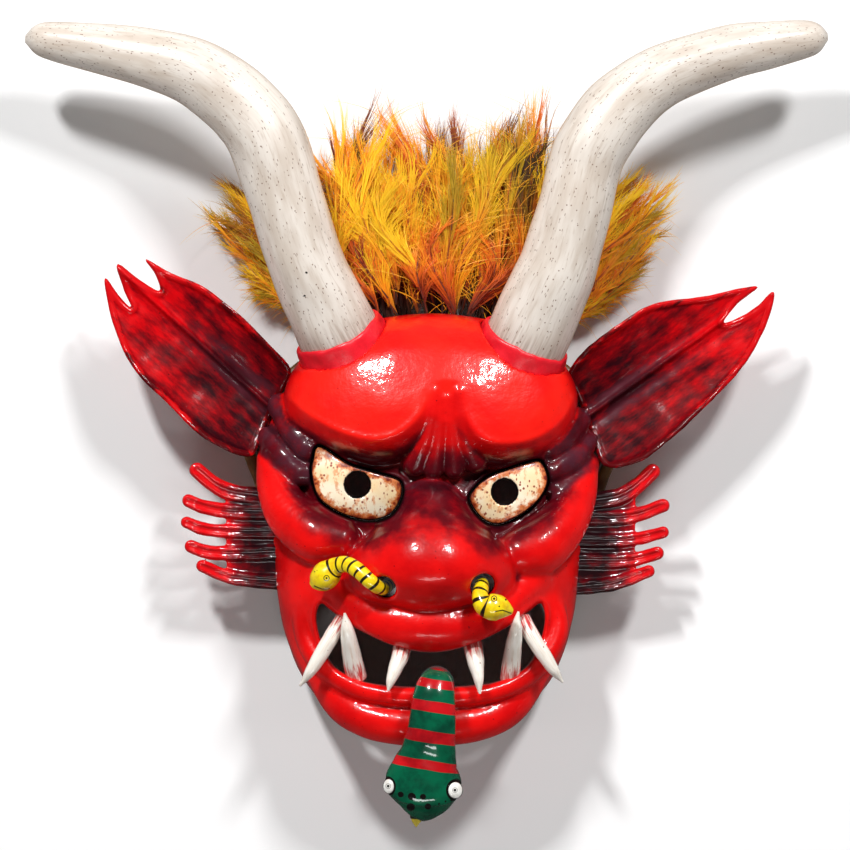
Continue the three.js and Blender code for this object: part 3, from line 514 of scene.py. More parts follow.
def fin_lacquer():
    f = Finish("red_fin_lacquer", Specular_IOR_Level=0.2, Roughness=0.3, Coat_Weight=1.0, Coat_Roughness=0.07)
    uneven = f.span(f.noise(85, 4, 0.6), 0.3, 0.7, -0.22, 0.22)
    dark = f.plus(f.painted("glaze"), uneven)
    red = f.mix(f.span(dark, 0.15, 0.65), rgb(218, 8, 18), rgb(124, 4, 18))
    red = f.mix(f.span(dark, 0.5, 1.05), red, rgb(38, 7, 15))
    f.color(red)
    f.bump(f.noise(110, 3, 0.55), 0.35, 0.001)
    return f.material


def horn_bone():
    f = Finish("bone_horn", Roughness=0.38, Coat_Weight=0.25, Coat_Roughness=0.22)
    lay = f.painted("lay", "Vector")
    grain = f.grain((0.55, 0.55, 0.055))
    broad = f.grain((0.07, 0.07, 0.018), 3, 0.55)
    bone = f.mix(f.span(broad, 0.38, 0.66), rgb(224, 215, 205), rgb(203, 190, 177))
    bone = f.mix(f.times(f.span(grain, 0.5, 0.74), 0.5), bone, rgb(172, 152, 134))
    # Painted shade: tan where the horn's surface turns sideways, towards its outline seen from above.
    bone = f.mix(f.times(f.painted("side"), 0.55), bone, rgb(206, 172, 132))
    root = f.times(f.painted("root"), f.span(grain, 0.35, 0.62, 0.2, 0.9))
    bone = f.mix(root, bone, rgb(138, 112, 98))
    dash = f.specks(1, 0.28, 0.34, f.stretched(lay, (0.8, 0.8, 0.2)))
    dots = f.most(f.specks(1, 0.2, 0.45, f.stretched(lay, (0.3, 0.3, 0.3))), dash)
    bone = f.mix(f.times(dots, 0.85), bone, rgb(100, 62, 38))
    f.color(f.mix(f.span(f.painted("nail"), 0.35, -0.15), bone, INK))
    f.bump(grain, 0.12, 0.0008)
    return f.material


def collar_band():
    f = Finish("pink_red_collar", Roughness=0.42, Coat_Weight=0.2, Coat_Roughness=0.25)
    cloudy = f.span(f.noise(60, 4, 0.6), 0.35, 0.7)
    f.color(f.mix(cloudy, rgb(240, 26, 44), rgb(212, 14, 32)))
    f.bump(f.noise(150, 4, 0.6), 0.3, 0.001)
    return f.material


def back_lacquer():
    f = Finish("olive_brown_back", Roughness=0.45, Coat_Weight=0.25, Coat_Roughness=0.3)
    cloudy = f.span(f.noise(28, 5, 0.65), 0.32, 0.68)
    brown = f.mix(cloudy, rgb(126, 84, 30), rgb(74, 48, 14))
    f.color(f.mix(f.times(f.specks(140, 0.18, 0.3), 0.6), brown, rgb(34, 22, 8)))
    f.bump(f.noise(120, 4, 0.6), 0.3, 0.001)
    return f.material


def eye_cream():
    f = Finish("cream_eye", Roughness=0.35, Coat_Weight=0.6, Coat_Roughness=0.12)
    dabs = f.noise(170, 4, 0.65)
    streaks = f.noise(1, 4, 0.65, f.stretched(f.place, (260, 130, 130)))
    cream = f.mix(f.span(f.noise(45, 3), 0.35, 0.68), rgb(250, 236, 208), rgb(246, 214, 164))
    edge = f.plus(f.painted("edge"), f.span(dabs, 0.3, 0.7, -0.32, 0.32))
    cream = f.mix(f.span(edge, 0.3, 0.75), cream, rgb(206, 108, 52))
    cream = f.mix(f.span(edge, 0.72, 1.0), cream, rgb(120, 30, 16))
    cream = f.mix(f.times(f.span(streaks, 0.51, 0.64), 0.7), cream, rgb(214, 128, 70))
    specks = f.most(f.specks(230, 0.27, 0.75), f.specks(1, 0.3, 0.5, f.stretched(f.place, (420, 240, 300))))
    cream = f.mix(f.times(specks, 0.95), cream, rgb(138, 44, 22))
    f.color(f.mix(f.span(f.painted("line"), 0.4, 0.6), cream, INK))
    f.bump(streaks, 0.12, 0.0008)
    return f.material


def fang_ivory():
    f = Finish("ivory_fang", Roughness=0.28, Coat_Weight=0.7, Coat_Roughness=0.1)
    streak = f.grain((0.5, 0.5, 0.06))
    ivory = f.mix(f.span(streak, 0.4, 0.7), rgb(246, 240, 230), rgb(230, 216, 200))
    stain = f.plus(f.painted("stain"), f.span(streak, 0.3, 0.7, -0.45, 0.45))
    ivory = f.mix(f.span(stain, 0.4, 1.3), ivory, rgb(200, 62, 62))
    f.color(f.mix(f.times(f.specks(240, 0.2, 0.2), 0.75), ivory, rgb(128, 80, 56)))
    f.bump(streak, 0.15, 0.0006)
    return f.material


def tongue_paint():
    f = Finish("green_snake", Specular_IOR_Level=0.2, Roughness=0.22, Coat_Weight=1.0, Coat_Roughness=0.05)
    cloudy = f.span(f.noise(55, 4, 0.6), 0.35, 0.7)
    green = f.mix(cloudy, rgb(2, 98, 66), rgb(2, 62, 44))
    red = f.mix(cloudy, rgb(200, 18, 26), rgb(150, 10, 20))
    green = f.mix(f.span(f.painted("band"), 0.25, -0.25), green, red)
    green = f.mix(f.span(f.painted("tip"), -0.3, 0.3), green, rgb(40, 38, 16))
    green = f.mix(f.span(f.painted("tip"), 3.6, 4.4), green, rgb(226, 200, 62))
    f.color(f.mix(f.span(f.painted("ink"), 0.2, -0.2), green, INK))
    f.bump(f.noise(80, 3, 0.5), 0.25, 0.001)
    return f.material


def snake_eye_paint():
    f = Finish("white_snake_eye", Roughness=0.3, Coat_Weight=0.6, Coat_Roughness=0.1)
    white = f.mix(f.span(f.noise(200, 3), 0.4, 0.7), rgb(248, 246, 240), rgb(226, 222, 214))
    f.color(f.mix(f.span(f.painted("ink"), 0.15, -0.15), white, INK))
    return f.material


def snake_yellow():
    f = Finish("yellow_snake", Roughness=0.28, Coat_Weight=0.8, Coat_Roughness=0.08)
    yellow = f.mix(f.span(f.noise(160, 4, 0.6), 0.38, 0.7), rgb(250, 222, 22), rgb(226, 180, 14))
    # Painted shade: darker yellow on the snake's underside.
    yellow = f.mix(f.times(f.painted("under"), 0.75), yellow, rgb(150, 98, 16))
    f.color(f.mix(f.span(f.painted("ink"), 0.12, -0.12), yellow, rgb(26, 20, 10)))
    f.bump(f.noise(220, 3), 0.15, 0.0005)
    return f.material


def feather_dye():
    f = Finish("dyed_feather", Roughness=0.5, Sheen_Weight=0.15)
    warm = f.painted("warmth")
    dye = f.mix(f.span(warm, 0.0, 0.34), rgb(255, 208, 26), rgb(252, 160, 8))
    dye = f.mix(f.span(warm, 0.3, 0.62), dye, rgb(224, 96, 4))
    dye = f.mix(f.span(warm, 0.58, 0.95), dye, rgb(128, 36, 2))
    f.color(f.mix(f.painted("brown"), dye, rgb(40, 18, 6)))
    return f.material


# The masses of the head, X from the middle line where a form has both sides.
MIDFACE = ((0, -72, 20), (117, 90, 70))
JAW = ((0, -150, 20), (101, 82, 84))
MUZZLE = ((0, -152, 58), (94, 70, 50))
JOWL = ((66, -116, 48), (40, 48, 38))
ORBIT = ((62, -38, 34), (36, 36, 50))
TEMPLE = ((99, -16, 20), (22, 36, 32))
GLABELLA = ((11, -16, 66), (30, 27, 32))
BASE_BLEND = 22
SIDE_BLEND = 10
FOREHEAD_BLEND = 4
# Forehead: height at its middle, how it falls away sideways and upwards, and its outline in plan.
FOREHEAD_TOP = 113
FOREHEAD_FALL = (0.0022, 0.0035)
FOREHEAD_FROM = -14
FOREHEAD_PLAN = ((3, 15), (106, 63))
FOREHEAD_ROUND = 30
# Each brow is a lobe of the forehead: middle, reach and squareness on either side, and drop below the middle.
BROWS = (
    {"at": (-38, 28), "inner": (41, 2.0), "outer": (66, 1.6), "drop": 42.4, "inner_side": 1},
    {"at": (56, 25), "inner": (31, 2.4), "outer": (52, 2.0), "drop": 42.3, "inner_side": -1},
)
BROW_JOIN = 17  # Y from which the forehead is whole between the brows
BROW_WIDTH = 21  # how far the rolled edge below a brow reaches
BROW_LEAN = 1.25
BROW_EDGE = 1.6
BROW_LIP = 1.3
FROWN = {"x": 14, "wide": 13, "tall": 14, "ease": 0.55, "soften": 14}  # the dip between the brows
FROWN_FOLDS = (
    ((5, 20, 103, 5.5), (4, 4, 103.5, 6), (-1, -14, 97.5, 7), (-8, -31, 88, 9)),
    ((10.5, 16, 102.5, 4.5), (10, 0, 102.5, 5), (8.5, -14, 98.5, 5.5), (5, -34, 90.5, 7.5)),
    ((17.5, 16, 102.5, 4.5), (18, 0, 102.5, 5), (18.5, -14, 98.5, 5.5), (20, -34, 90.5, 7.5)),
    ((23, 20, 103, 5.5), (24, 4, 103.5, 6), (28, -14, 97.5, 7), (35, -29, 88, 9)),
)
NOSE_BODY = ((0, -104, 100), (57, 31, 50))
NOSE_WING = ((40, -112, 90), (20, 20, 34))
NOSE_BRIDGE = chain(((0, -54, 78, 15), (0, -66, 88, 24), (0, -80, 96, 33), (0, -95, 104, 40)))
CHEEK_ROLLS = [chain(line) for line in (
    ((-114, -28, 50, 9), (-109, -48, 62, 13.5), (-97, -68, 74, 18), (-78, -82.5, 84, 20), (-62, -86, 90, 15)),
    ((115, -34, 50, 9), (109, -54, 62, 13.5), (98, -73, 74, 18), (83, -88, 84, 20.5), (68, -95, 90, 18)),
)]
TEMPLE_ROLLS = [chain(line) for line in (
    ((-106, 11, 46, 9), (-97, -5, 62, 10), (-86, -19, 72, 9.5)),
    ((-114, -13, 44, 9), (-105, -23, 58, 10), (-90, -38, 70, 9)),
    ((110, 1, 46, 9), (99, -11, 62, 10), (88, -19, 72, 9)),
    ((115, -15, 44, 9), (105, -27, 59, 10), (91, -36, 70, 9)),
    ((118, -30, 42, 7.5), (108, -41, 57, 8.5), (93, -49, 68, 8)),
)]
UPPER_LIP = chain(((74, -113, 80, 13), (43, -138, 100, 17.5), (12, -146, 108, 19), (-12, -146, 108, 19)))
LOWER_LIP = chain((
    (82, -122, 72, 8), (90.5, -146, 74, 8.5), (81, -170, 82, 8.5),
    (57, -189, 94, 8), (25, -196.5, 104, 7.5), (-25, -196.5, 104, 7.5),
))
CHIN_ROLL = chain((
    (82, -158, 55, 13), (76, -174, 64, 14.5), (62, -199, 78, 15), (44, -212, 88, 15), (17, -217.5, 94, 15),
    (-17, -217.5, 94, 15),
))
# How softly each form runs into the head.
NOSE_BODY_BLEND, NOSE_WING_BLEND, NOSE_BLEND = 20, 14, 3.5
FROWN_BLEND, TEMPLE_BLEND, CHEEK_BLEND, CHIN_BLEND = 2.6, 2, 4, 4
LOWER_LIP_BLEND, UPPER_LIP_BLEND = 3, 5
HEAD_LOW, HEAD_HIGH = (-146, -252, 24), (152, 100, 172)

# Openings of the face, and the horns' first stretch, which the forehead is cut for.
# Rims are height, distance from the opening and width. Rounds are the edges' radii.
EYE_RIM, MOUTH_RIM = (1.5, 2.4, 2.0), (1.3, 2.6, 1.7)
EYE_ROUND, HOLLOW_ROUND, MOUTH_ROUND, NOSTRIL_ROUND, HORN_ROUND = 2.0, 1.5, 2.5, 3.0, 1.0
MOUTH_HALF = (
    (3, -165.5), (25, -162), (45, -154), (62, -145), (75, -135.5), (82, -131),
    (85, -142), (81, -160), (72, -176), (56, -185), (38, -189), (3, -190.5),
)
EYES = {
    "left": ((-77, -18), (-81.5, -28), (-82.5, -38), (-78, -54), (-66, -64), (-50, -70), (-37, -71),
             (-25, -66), (-18, -54), (-19.5, -43), (-34, -38), (-56, -31)),
    "right": ((81, -29), (86.5, -38), (86, -47), (79, -58), (66, -68), (52, -74), (40, -70), (31, -57),
              (35, -48), (45, -40), (58, -35), (70, -31)),
}
PUPILS = {"left": (-49.6, -45.6), "right": (56, -50.8)}
PUPIL_RADIUS = 9.6
EYE_DOME = (64, 54, 46)
EYE_DOME_Z = 44
EYE_WALL = 6
EYE_BASE = 8  # level of an eye's lower edge above its dome's middle
EYE_EDGE = 1.6
NOSTRILS = (
    ((-31, -120, 146, 8.5), (-29, -117, 122, 8.5), (-24, -110, 80, 8)),
    ((41, -119, 146, 9), (39, -116, 122, 9), (32, -110, 80, 8)),
)
HORNS = {
    "left": ((-52, 40, 55, 31), (-64, 64, 67, 30), (-74, 85, 73, 28.5), (-84, 107, 77, 27.5),
             (-94, 135, 79, 27.5), (-103, 165, 80, 27.5), (-115, 202, 80, 28), (-129, 222, 79, 27),
             (-147, 238, 77, 26), (-170, 252, 75, 24), (-200, 261, 72, 21.5), (-236, 268, 69, 18),
             (-267, 273, 66, 14.5), (-281, 275, 65, 11), (-289, 275.5, 64, 3)),
    "right": ((60, 36, 55, 31), (72, 59, 67, 30), (80, 77, 72, 30), (88, 96, 76, 29), (96, 115, 78, 28),
              (106, 151, 80, 26.8), (113, 180, 80, 26.6), (120, 199, 80, 26.6), (139, 225, 78, 25.5),
              (170, 248, 76, 22.5), (216, 265, 71, 19.8), (247, 271, 68, 17), (272, 275, 66, 14),
              (282.4, 276.5, 65, 10.5), (288.9, 277, 64, 3)),
}
COLLAR_WALL = 4
COLLAR_END = 0.94 / 14
HORN_ROOT = 0.35 / 14
BORE_END = 0.72
HORN_WALL = 6
HORN_SEEDS = {"left": 21, "right": 22}
NAILS = {"left": ((-86, 105.8), (-87.5, 89.3)), "right": ()}
NAIL_RADIUS = 1.1


def mirrored(half):
    return list(half) + [(2 * MID_X - x, y) for x, y in half[-2:0:-1]]


MOUTH_RING = closed_curve(np.array(mirrored(MOUTH_HALF)), 72)
EYE_RINGS = {side: closed_curve(np.array(points), 56) for side, points in EYES.items()}


def brow_lobe(x, y, brow):
    toward = (x - brow["at"][0]) * brow["inner_side"] > 0
    wide = np.where(toward, brow["inner"][0], brow["outer"][0])
    power = np.where(toward, brow["inner"][1], brow["outer"][1])
    px, py = np.abs(x - brow["at"][0]) / wide, np.maximum(brow["at"][1] - y, 0) / brow["drop"]
    reach = np.maximum((px**power + py**power) ** (1 / power), 1e-6)
    slope = np.hypot((px / reach) ** (power - 1) / wide, (py / reach) ** (power - 1) / brow["drop"])
    return (reach - 1) / np.maximum(slope, 1e-6)


def frown_dip(x, y):
    return spot(x, y, (FROWN["x"], BROW_JOIN), (FROWN["wide"], FROWN["tall"]))


def brow_edge(x, y):
    """Distance in the plane past the forehead's lower edge, negative on the forehead."""
    lobes = np.minimum(*[brow_lobe(x, y, brow) for brow in BROWS])
    return blend(lobes, BROW_JOIN - y, 8) * (1 - FROWN["ease"] * frown_dip(x, y))


def forehead(x, y, z):
    """The forehead's broad plane, rounded off round its outline and rolled under along the brows."""
    (px, py), (rx, ry) = FOREHEAD_PLAN
    side, up = x - px, np.maximum(y - FOREHEAD_FROM, 0)
    top = FOREHEAD_TOP - FOREHEAD_FALL[0] * side**2 - FOREHEAD_FALL[1] * up**2
    slab = (z - top) / np.sqrt(1 + (2 * FOREHEAD_FALL[0] * side) ** 2 + (2 * FOREHEAD_FALL[1] * up) ** 2)
    reach = np.maximum(np.hypot(side / rx, (y - py) / ry), 1e-6)
    plan = reach * (reach - 1) / np.maximum(np.hypot(side / rx**2, (y - py) / ry**2), 1e-6)
    edge = brow_edge(x, y)
    middle = frown_dip(x, y)
    drop = top - FOREHEAD_ROUND / 4 * np.clip(1 + plan / FOREHEAD_ROUND, 0, 1) ** 2 - z
    shrink = np.exp(np.clip(-BROW_LEAN * drop / BROW_WIDTH, -9, 2))
    under = (edge - BROW_WIDTH * (1 - shrink)) / np.hypot(1, BROW_LEAN * shrink)
    lip = BROW_LIP * (1 - middle) * ridge(edge, -1.2, 2.6)
    return trim(trim(slab - lip, plan, FOREHEAD_ROUND), under, BROW_EDGE + FROWN["soften"] * middle)


def masses(x, y, z):
    cx, m = x - BODY_X, np.abs(x - BODY_X)
    d = ellipsoid(cx, y, z, *MIDFACE)
    d = blend(d, ellipsoid(cx, y, z, *JAW), BASE_BLEND)
    d = blend(d, ellipsoid(cx, y, z, *MUZZLE), BASE_BLEND)
    d = blend(d, ellipsoid(m, y, z, *JOWL), BASE_BLEND)
    d = blend(d, ellipsoid(m, y, z, *ORBIT), SIDE_BLEND)
    d = blend(d, ellipsoid(m, y, z, *TEMPLE), SIDE_BLEND)
    d = blend(d, ellipsoid(x, y, z, *GLABELLA), SIDE_BLEND)
    return blend(d, forehead(x, y, z), FOREHEAD_BLEND)


def nose(x, y, z):
    cx = x - MID_X
    d = blend(roll(cx, y, z, NOSE_BRIDGE), ellipsoid(cx, y, z, *NOSE_BODY), NOSE_BODY_BLEND)
    return blend(d, ellipsoid(np.abs(cx), y, z, *NOSE_WING), NOSE_WING_BLEND)


def head(x, y, z):
    m = np.abs(x - MID_X)
    d = masses(x, y, z)
    for fold in FROWN_FOLDS:
        d = blend(d, roll(x, y, z, fold), FROWN_BLEND)
    temples = [roll(x, y, z, fold) for fold in TEMPLE_ROLLS]
    for fold in temples:
        d = blend(d, fold, TEMPLE_BLEND)
    d = d - 0.45 * wobble(x, y, z, 13, 9) * fade(np.min(temples, axis=0), 0, 5)
    for fold in CHEEK_ROLLS:
        d = blend(d, roll(x, y, z, fold), CHEEK_BLEND)
    d = blend(d, roll(np.abs(x - BODY_X), y, z, CHIN_ROLL), CHIN_BLEND)
    d = blend(d, roll(m, y, z, LOWER_LIP), LOWER_LIP_BLEND)
    d = blend(d, roll(m, y, z, UPPER_LIP), UPPER_LIP_BLEND)
    return blend(d, nose(x, y, z), NOSE_BLEND)


def hollow(x, y, z):
    return blend(masses(x, y, z), nose(x, y, z), BASE_BLEND) + WALL


def face_form(x, y, z):
    d = head(x, y, z) + 0.35 * wobble(x, y, z, 34, 5)
    for ring in EYE_RINGS.values():
        away = outline_distance(x, y, ring)
        d = d - EYE_RIM[0] * ridge(away, *EYE_RIM[1:])
        d = trim(d, GAP - away, EYE_ROUND)
    d = trim(d, -hollow(x, y, z), HOLLOW_ROUND)
    mouth = outline_distance(x, y, MOUTH_RING)
    corners = smooth(np.abs(x - MID_X), 48, 66) * smooth(y, -186, -172)
    d = d - MOUTH_RIM[0] * corners * ridge(mouth, *MOUTH_RIM[1:])
    d = trim(d, -mouth, MOUTH_ROUND)
    for nostril in NOSTRILS:
        d = trim(d, -roll(x, y, z, nostril), NOSTRIL_ROUND)
    for horn in HORNS.values():
        d = trim(d, COLLAR_WALL + GAP - roll(x, y, z, horn[:4]), HORN_ROUND)
    return np.maximum(d, FACE_FLOOR - z)


# Dark glaze on the nose: middle and reach.
NOSE_ROOT_DARK = ((MID_X + 2, -47), (28, 7))
NOSE_BRIDGE_DARK = ((MID_X, -56), (54, 31))
# The dark glaze in creases also stands for painted shade.
CREASE_PASSES, SMALL_CREASE_PASSES = 10, 6  # how broad the creases are that hold dark glaze


def face_paint(points, quads):
    """Paint values of the face: dark glaze round the eyes, dark glaze with painted shade in creases and under
    the brows, painted light on the forehead's top, dark inside.
    """
    x, y, z = points.T
    skin = head(x, y, z)
    depth, normal = hollows(points, quads, CREASE_PASSES)
    # Creases are found from how far each point lies below its neighbours; their dark glaze is also a painted
    # shade.
    crease = smooth(depth, 0.25, 1.6)
    sockets, rim = np.zeros(len(points)), np.zeros(len(points))
    for ring in EYE_RINGS.values():
        away = outline_distance(x, y, ring)
        sockets = np.maximum(sockets, 1.15 * fade(away, 1.5, 5.5))
        sockets = np.maximum(sockets, 0.8 * fade(away, 4, 34))
        rim = np.maximum(rim, fade(away, 1.0, 3.4))
    # Painted shade: the nostril bores below the surface are painted ink-black, without gloss.
    rim = np.maximum(rim, fade(nearest_roll(x, y, z, NOSTRILS), 0.4, 1.6) * smooth(-skin, 0.8, 2.4))
    temples = fade(nearest_roll(x, y, z, TEMPLE_ROLLS), 0.5, 5)
    root = 1.1 * spot(x, y, *NOSE_ROOT_DARK)
    bridge = 0.78 * spot(x, y, *NOSE_BRIDGE_DARK)
    pleats = 0.85 * fade(nearest_roll(x, y, z, FROWN_FOLDS), 0.5, 4) * smooth(-y, 10, 34)
    plane = fade(forehead(x, y, z) - skin, 0.5, 3)
    edge = brow_edge(x, y)
    # Painted shade: the rolled-under edge below each brow darkens towards the eyes.
    brow = plane * smooth(edge, 2.5, 14) * 0.95
    # Painted light: the forehead's upward-facing plane, away from its edges, is painted lighter and kept free
    # of glaze.
    top = plane * fade(edge, -3, 2) * smooth(normal[:, 2], 0.2, 0.5)
    outside = temples * (1 - plane)
    glaze = np.maximum.reduce([sockets * (1 - 0.55 * plane), 0.7 * outside, root, bridge, brow, pleats])
    glaze = np.maximum(glaze, (0.7 + 0.5 * outside) * crease) * (1 - top)
    # Painted sheen: plum-grey on the temple rolls and the nose root, left off in creases.
    plum_sheen = np.maximum(outside, 0.8 * np.minimum(root, 1)) * (1 - crease)
    inside = smooth(-hollow(x, y, z), -2.5, -1.0) * smooth(-skin, 2.5, 5)
    uneven = smooth(glaze, 0.02, 0.3)
    return {"glaze": glaze, "light": top, "uneven": uneven, "plum_sheen": plum_sheen, "inside": inside, "rim": rim}


def make_face():
    points, quads = moulded(face_form, HEAD_LOW, HEAD_HIGH, FACE_CELL)
    points[:, 2] = np.maximum(points[:, 2], FACE_FLOOR)
    paint = face_paint(points, quads)
    return piece("moulded_face", points, quads, face_lacquer(), "face", "red_lacquer", **paint)


# Back shell: right half of the rim outline.
BACK_HALF = (
    (3, 76), (40, 72), (78, 58), (112, 32), (134, 2), (139, -22), (130, -48), (116, -92),
    (104, -140), (84, -184), (50, -213), (3, -222),
)
BACK_WALL = 9
BACK_LOW, BACK_HIGH = (-142, -230, -6), (148, 84, 40)
BACK_ROUND = 4
BACK_RING = closed_curve(np.array(mirrored(BACK_HALF)), 72)


def back_form(x, y, z):
    away = outline_distance(x, y, BACK_RING)
    band = np.abs(away + BACK_WALL / 2) - BACK_WALL / 2 + 0.3 * wobble(x, y, z, 40, 3)
    tall = np.abs(z - BACK_DEPTH / 2) - BACK_DEPTH / 2
    return trim(band, tall, BACK_ROUND)


def make_back():
    points, quads = moulded(back_form, BACK_LOW, BACK_HIGH, BACK_CELL)
    points[:, 2] = np.clip(points[:, 2], 0, BACK_DEPTH)
    return piece("brown_back_shell", points, quads, back_lacquer(), "back_shell", "back_brown")


# Eyes: domed plates with a round hole as the pupil.
def make_eye(side, material):
    pupil, ring = PUPILS[side], EYE_RINGS[side]
    at = (*pupil, EYE_DOME_Z)
    inner = [s - EYE_WALL for s in EYE_DOME]

    def form(x, y, z):
        d = trim(ellipsoid(x, y, z, at, EYE_DOME), -ellipsoid(x, y, z, at, inner), 1.0)
        d = trim(d, outline_distance(x, y, ring), EYE_EDGE)
        d = trim(d, PUPIL_RADIUS - np.hypot(x - pupil[0], y - pupil[1]), EYE_EDGE)
        return np.maximum(d, EYE_DOME_Z + EYE_BASE - z)

    low = (*(ring.min(0) - 4), EYE_DOME_Z)
    high = (*(ring.max(0) + 4), EYE_DOME_Z + EYE_DOME[2] + 4)
    points, quads = moulded(form, low, high, EYE_CELL)
    x, y, z = points.T
    away = outline_distance(x, y, ring)
    hole = np.hypot(x - pupil[0], y - pupil[1]) - PUPIL_RADIUS
    under = ellipsoid(x, y, z, at, EYE_DOME) < -2
    edge = smooth(away, -9, 0.5)
    line = np.maximum(smooth(away, -1.6, 0.2), np.where(under | (hole < 0.25), 1.0, 0.0))
    name = "eye_" + side
    return piece("cream_" + name, points, quads, material, name, "eye_cream", edge=edge, line=line)


# Horns and collars.
def horn_path(side, t):
    path = spline(HORNS[side], t)
    return path[:, :3], path[:, 3]


def there_and_back(centres, ahead):
    """Directions along a path that turns back on itself: ahead says which way each station runs."""
    along = np.gradient(centres, axis=0)
    for n in np.flatnonzero(np.diff(ahead)):
        along[n] = centres[n] - centres[n - 1]
        along[n + 1] = centres[n + 2] - centres[n + 1]
    return along * ahead[:, None]


def make_horn(side, material):
    sides, rings, bore_rings = 88, 190, 40
    t = np.concatenate([np.linspace(1, HORN_ROOT, rings), np.linspace(HORN_ROOT, BORE_END, bore_rings)])
    outer = np.arange(len(t)) < rings
    centres, radii = horn_path(side, t)
    end = smooth(t, 0.93, 1.0)
    radii = np.where(outer, radii, np.maximum(radii - HORN_WALL, 2))
    along = there_and_back(centres, np.where(outer, -1, 1))
    points, faces, turn = loft(centres, radii, sides, along=along)
    faces = [face[::-1] for face in faces]
    lumps = 0.5 * wobble(*points.T, 46, HORN_SEEDS[side])
    middle = np.vstack([np.repeat(centres, sides, 0), centres[:1], centres[-1:]])
    outward = points - middle
    outward /= np.maximum(np.linalg.norm(outward, axis=1), 1e-6)[:, None]
    points = points + outward * (lumps * per_ring(outer * (1 - end), sides))[:, None]
    # Painted shade: the sides of the horn, where the surface turns away from straight up.
    rim = smooth(1 - np.abs(outward[:, 2]), 0.62, 1.0)
    root = per_ring(fade(t, COLLAR_END, COLLAR_END + 0.06) * 0.55, sides)
    nail = np.full(len(points), FAR)
    for x, y in NAILS[side]:
        nail = np.minimum(nail, np.hypot(points[:, 0] - x, points[:, 1] - y) - NAIL_RADIUS)
    nail = np.where(outward[:, 2] > 0.2, nail, FAR)
    name = "horn_" + side
    return piece("bone_" + name, points, faces, material, name, "horn_bone",
                 lay=lay_of(radii, run_of(centres), turn), side=rim, root=root, nail=nail)


# Profile of a collar, up its outside and a little way in: share of its height, and distance from the horn.
COLLAR_PROFILE = (
    (0.0, 2.0), (0.0, 4.6), (0.25, 4.4), (0.5, 3.7), (0.75, 3.1), (0.92, 2.7), (1.0, 1.9),
    (1.02, 0.6), (0.9, -1.0),
)
COLLAR_ROWS = 40
COLLAR_SEEDS = {"left": 31, "right": 32}
RAGGED_WAVES = (3, 7, 12, 17, 29)  # waves round a collar's upper edge


def make_collar(side, material):
    sides = 120
    turn = np.linspace(0, 2 * math.pi, sides, endpoint=False)
    draw = np.random.default_rng(COLLAR_SEEDS[side])
    ragged = sum(draw.uniform(0.3, 1) / n * np.sin(n * turn + draw.uniform(0, 6.3)) for n in RAGGED_WAVES)
    top = COLLAR_END + 0.006 + 0.0062 * ragged
    rows = []
    for place, wall in spline(COLLAR_PROFILE, np.linspace(0, 1, COLLAR_ROWS)):
        t = HORN_ROOT + (top - HORN_ROOT) * place
        centres, radii = horn_path(side, t)
        ahead, _ = horn_path(side, t + 0.004)
        across, lift = section_axes(ahead - centres)
        fold = 1 + 0.12 * np.sin(7 * turn + 5 * place) * place + 0.08 * np.sin(11 * turn - 4 * place)
        reach = (radii + wall * fold)[:, None]
        rows.append(centres + reach * (np.cos(turn)[:, None] * across + np.sin(turn)[:, None] * lift))
    name = "horn_collar_" + side
    faces = ring_quads(len(rows), sides, closed=True)
    return piece("wrinkled_" + name, np.vstack(rows), faces, material, name, "collar_pink_red")


# Ears: cupped leaves with a rolled rim, a rib along the middle and split ends.
EARS = {
    "left": {
        "outline": (
            (-98, 37), (-112, 54), (-129, 71), (-146, 86), (-163, 98), (-185, 107), (-203, 117),
            (-196, 106), (-193, 94), (-208, 103), (-223, 113), (-219, 96), (-213, 82), (-222, 90),
            (-231, 103), (-232, 97), (-228, 77), (-219, 51), (-205, 30), (-190, 16), (-165, -9),
            (-149, -19), (-134, -25), (-124, -23), (-113, 2), (-104, 22)),
        "root": (-111, 8), "tip": (-218, 106), "half": 44, "lift": 18, "root_z": 44, "cup": 20,
    },
    "right": {
        "outline": (
            (102, 33), (113, 50), (126, 61), (142, 72), (157, 82), (176, 87), (200, 90), (218, 94), (239, 97),
            (226, 86), (216, 74), (216, 71), (228, 76), (240, 84), (249, 93), (251, 89), (247, 74), (240, 58),
            (229, 40), (213, 22), (197, 6), (182, -8), (168, -20), (152, -30), (129, -33), (118, -9),
            (110, 16)),
        "root": (112, 0), "tip": (238, 90), "half": 46, "lift": 18, "root_z": 42, "cup": 20,
    },
}
EAR_THICKNESS = 7
EAR_RIM = 2.4
EAR_LEVELS = (20, 108)
EAR_SLOPE = 0.85  # evens out the leaf's thickness where it leans


def ear_place(ear, x, y):
    """Where a point is on an ear: 0 at the root to 1 at the tip, and -1 to 1 from edge to edge."""
    along = np.subtract(ear["tip"], ear["root"])
    length = np.hypot(*along)
    t = ((x - ear["root"][0]) * along[0] + (y - ear["root"][1]) * along[1]) / length**2
    across = ((y - ear["root"][1]) * along[0] - (x - ear["root"][0]) * along[1]) / (length * ear["half"])
    return t, across, length


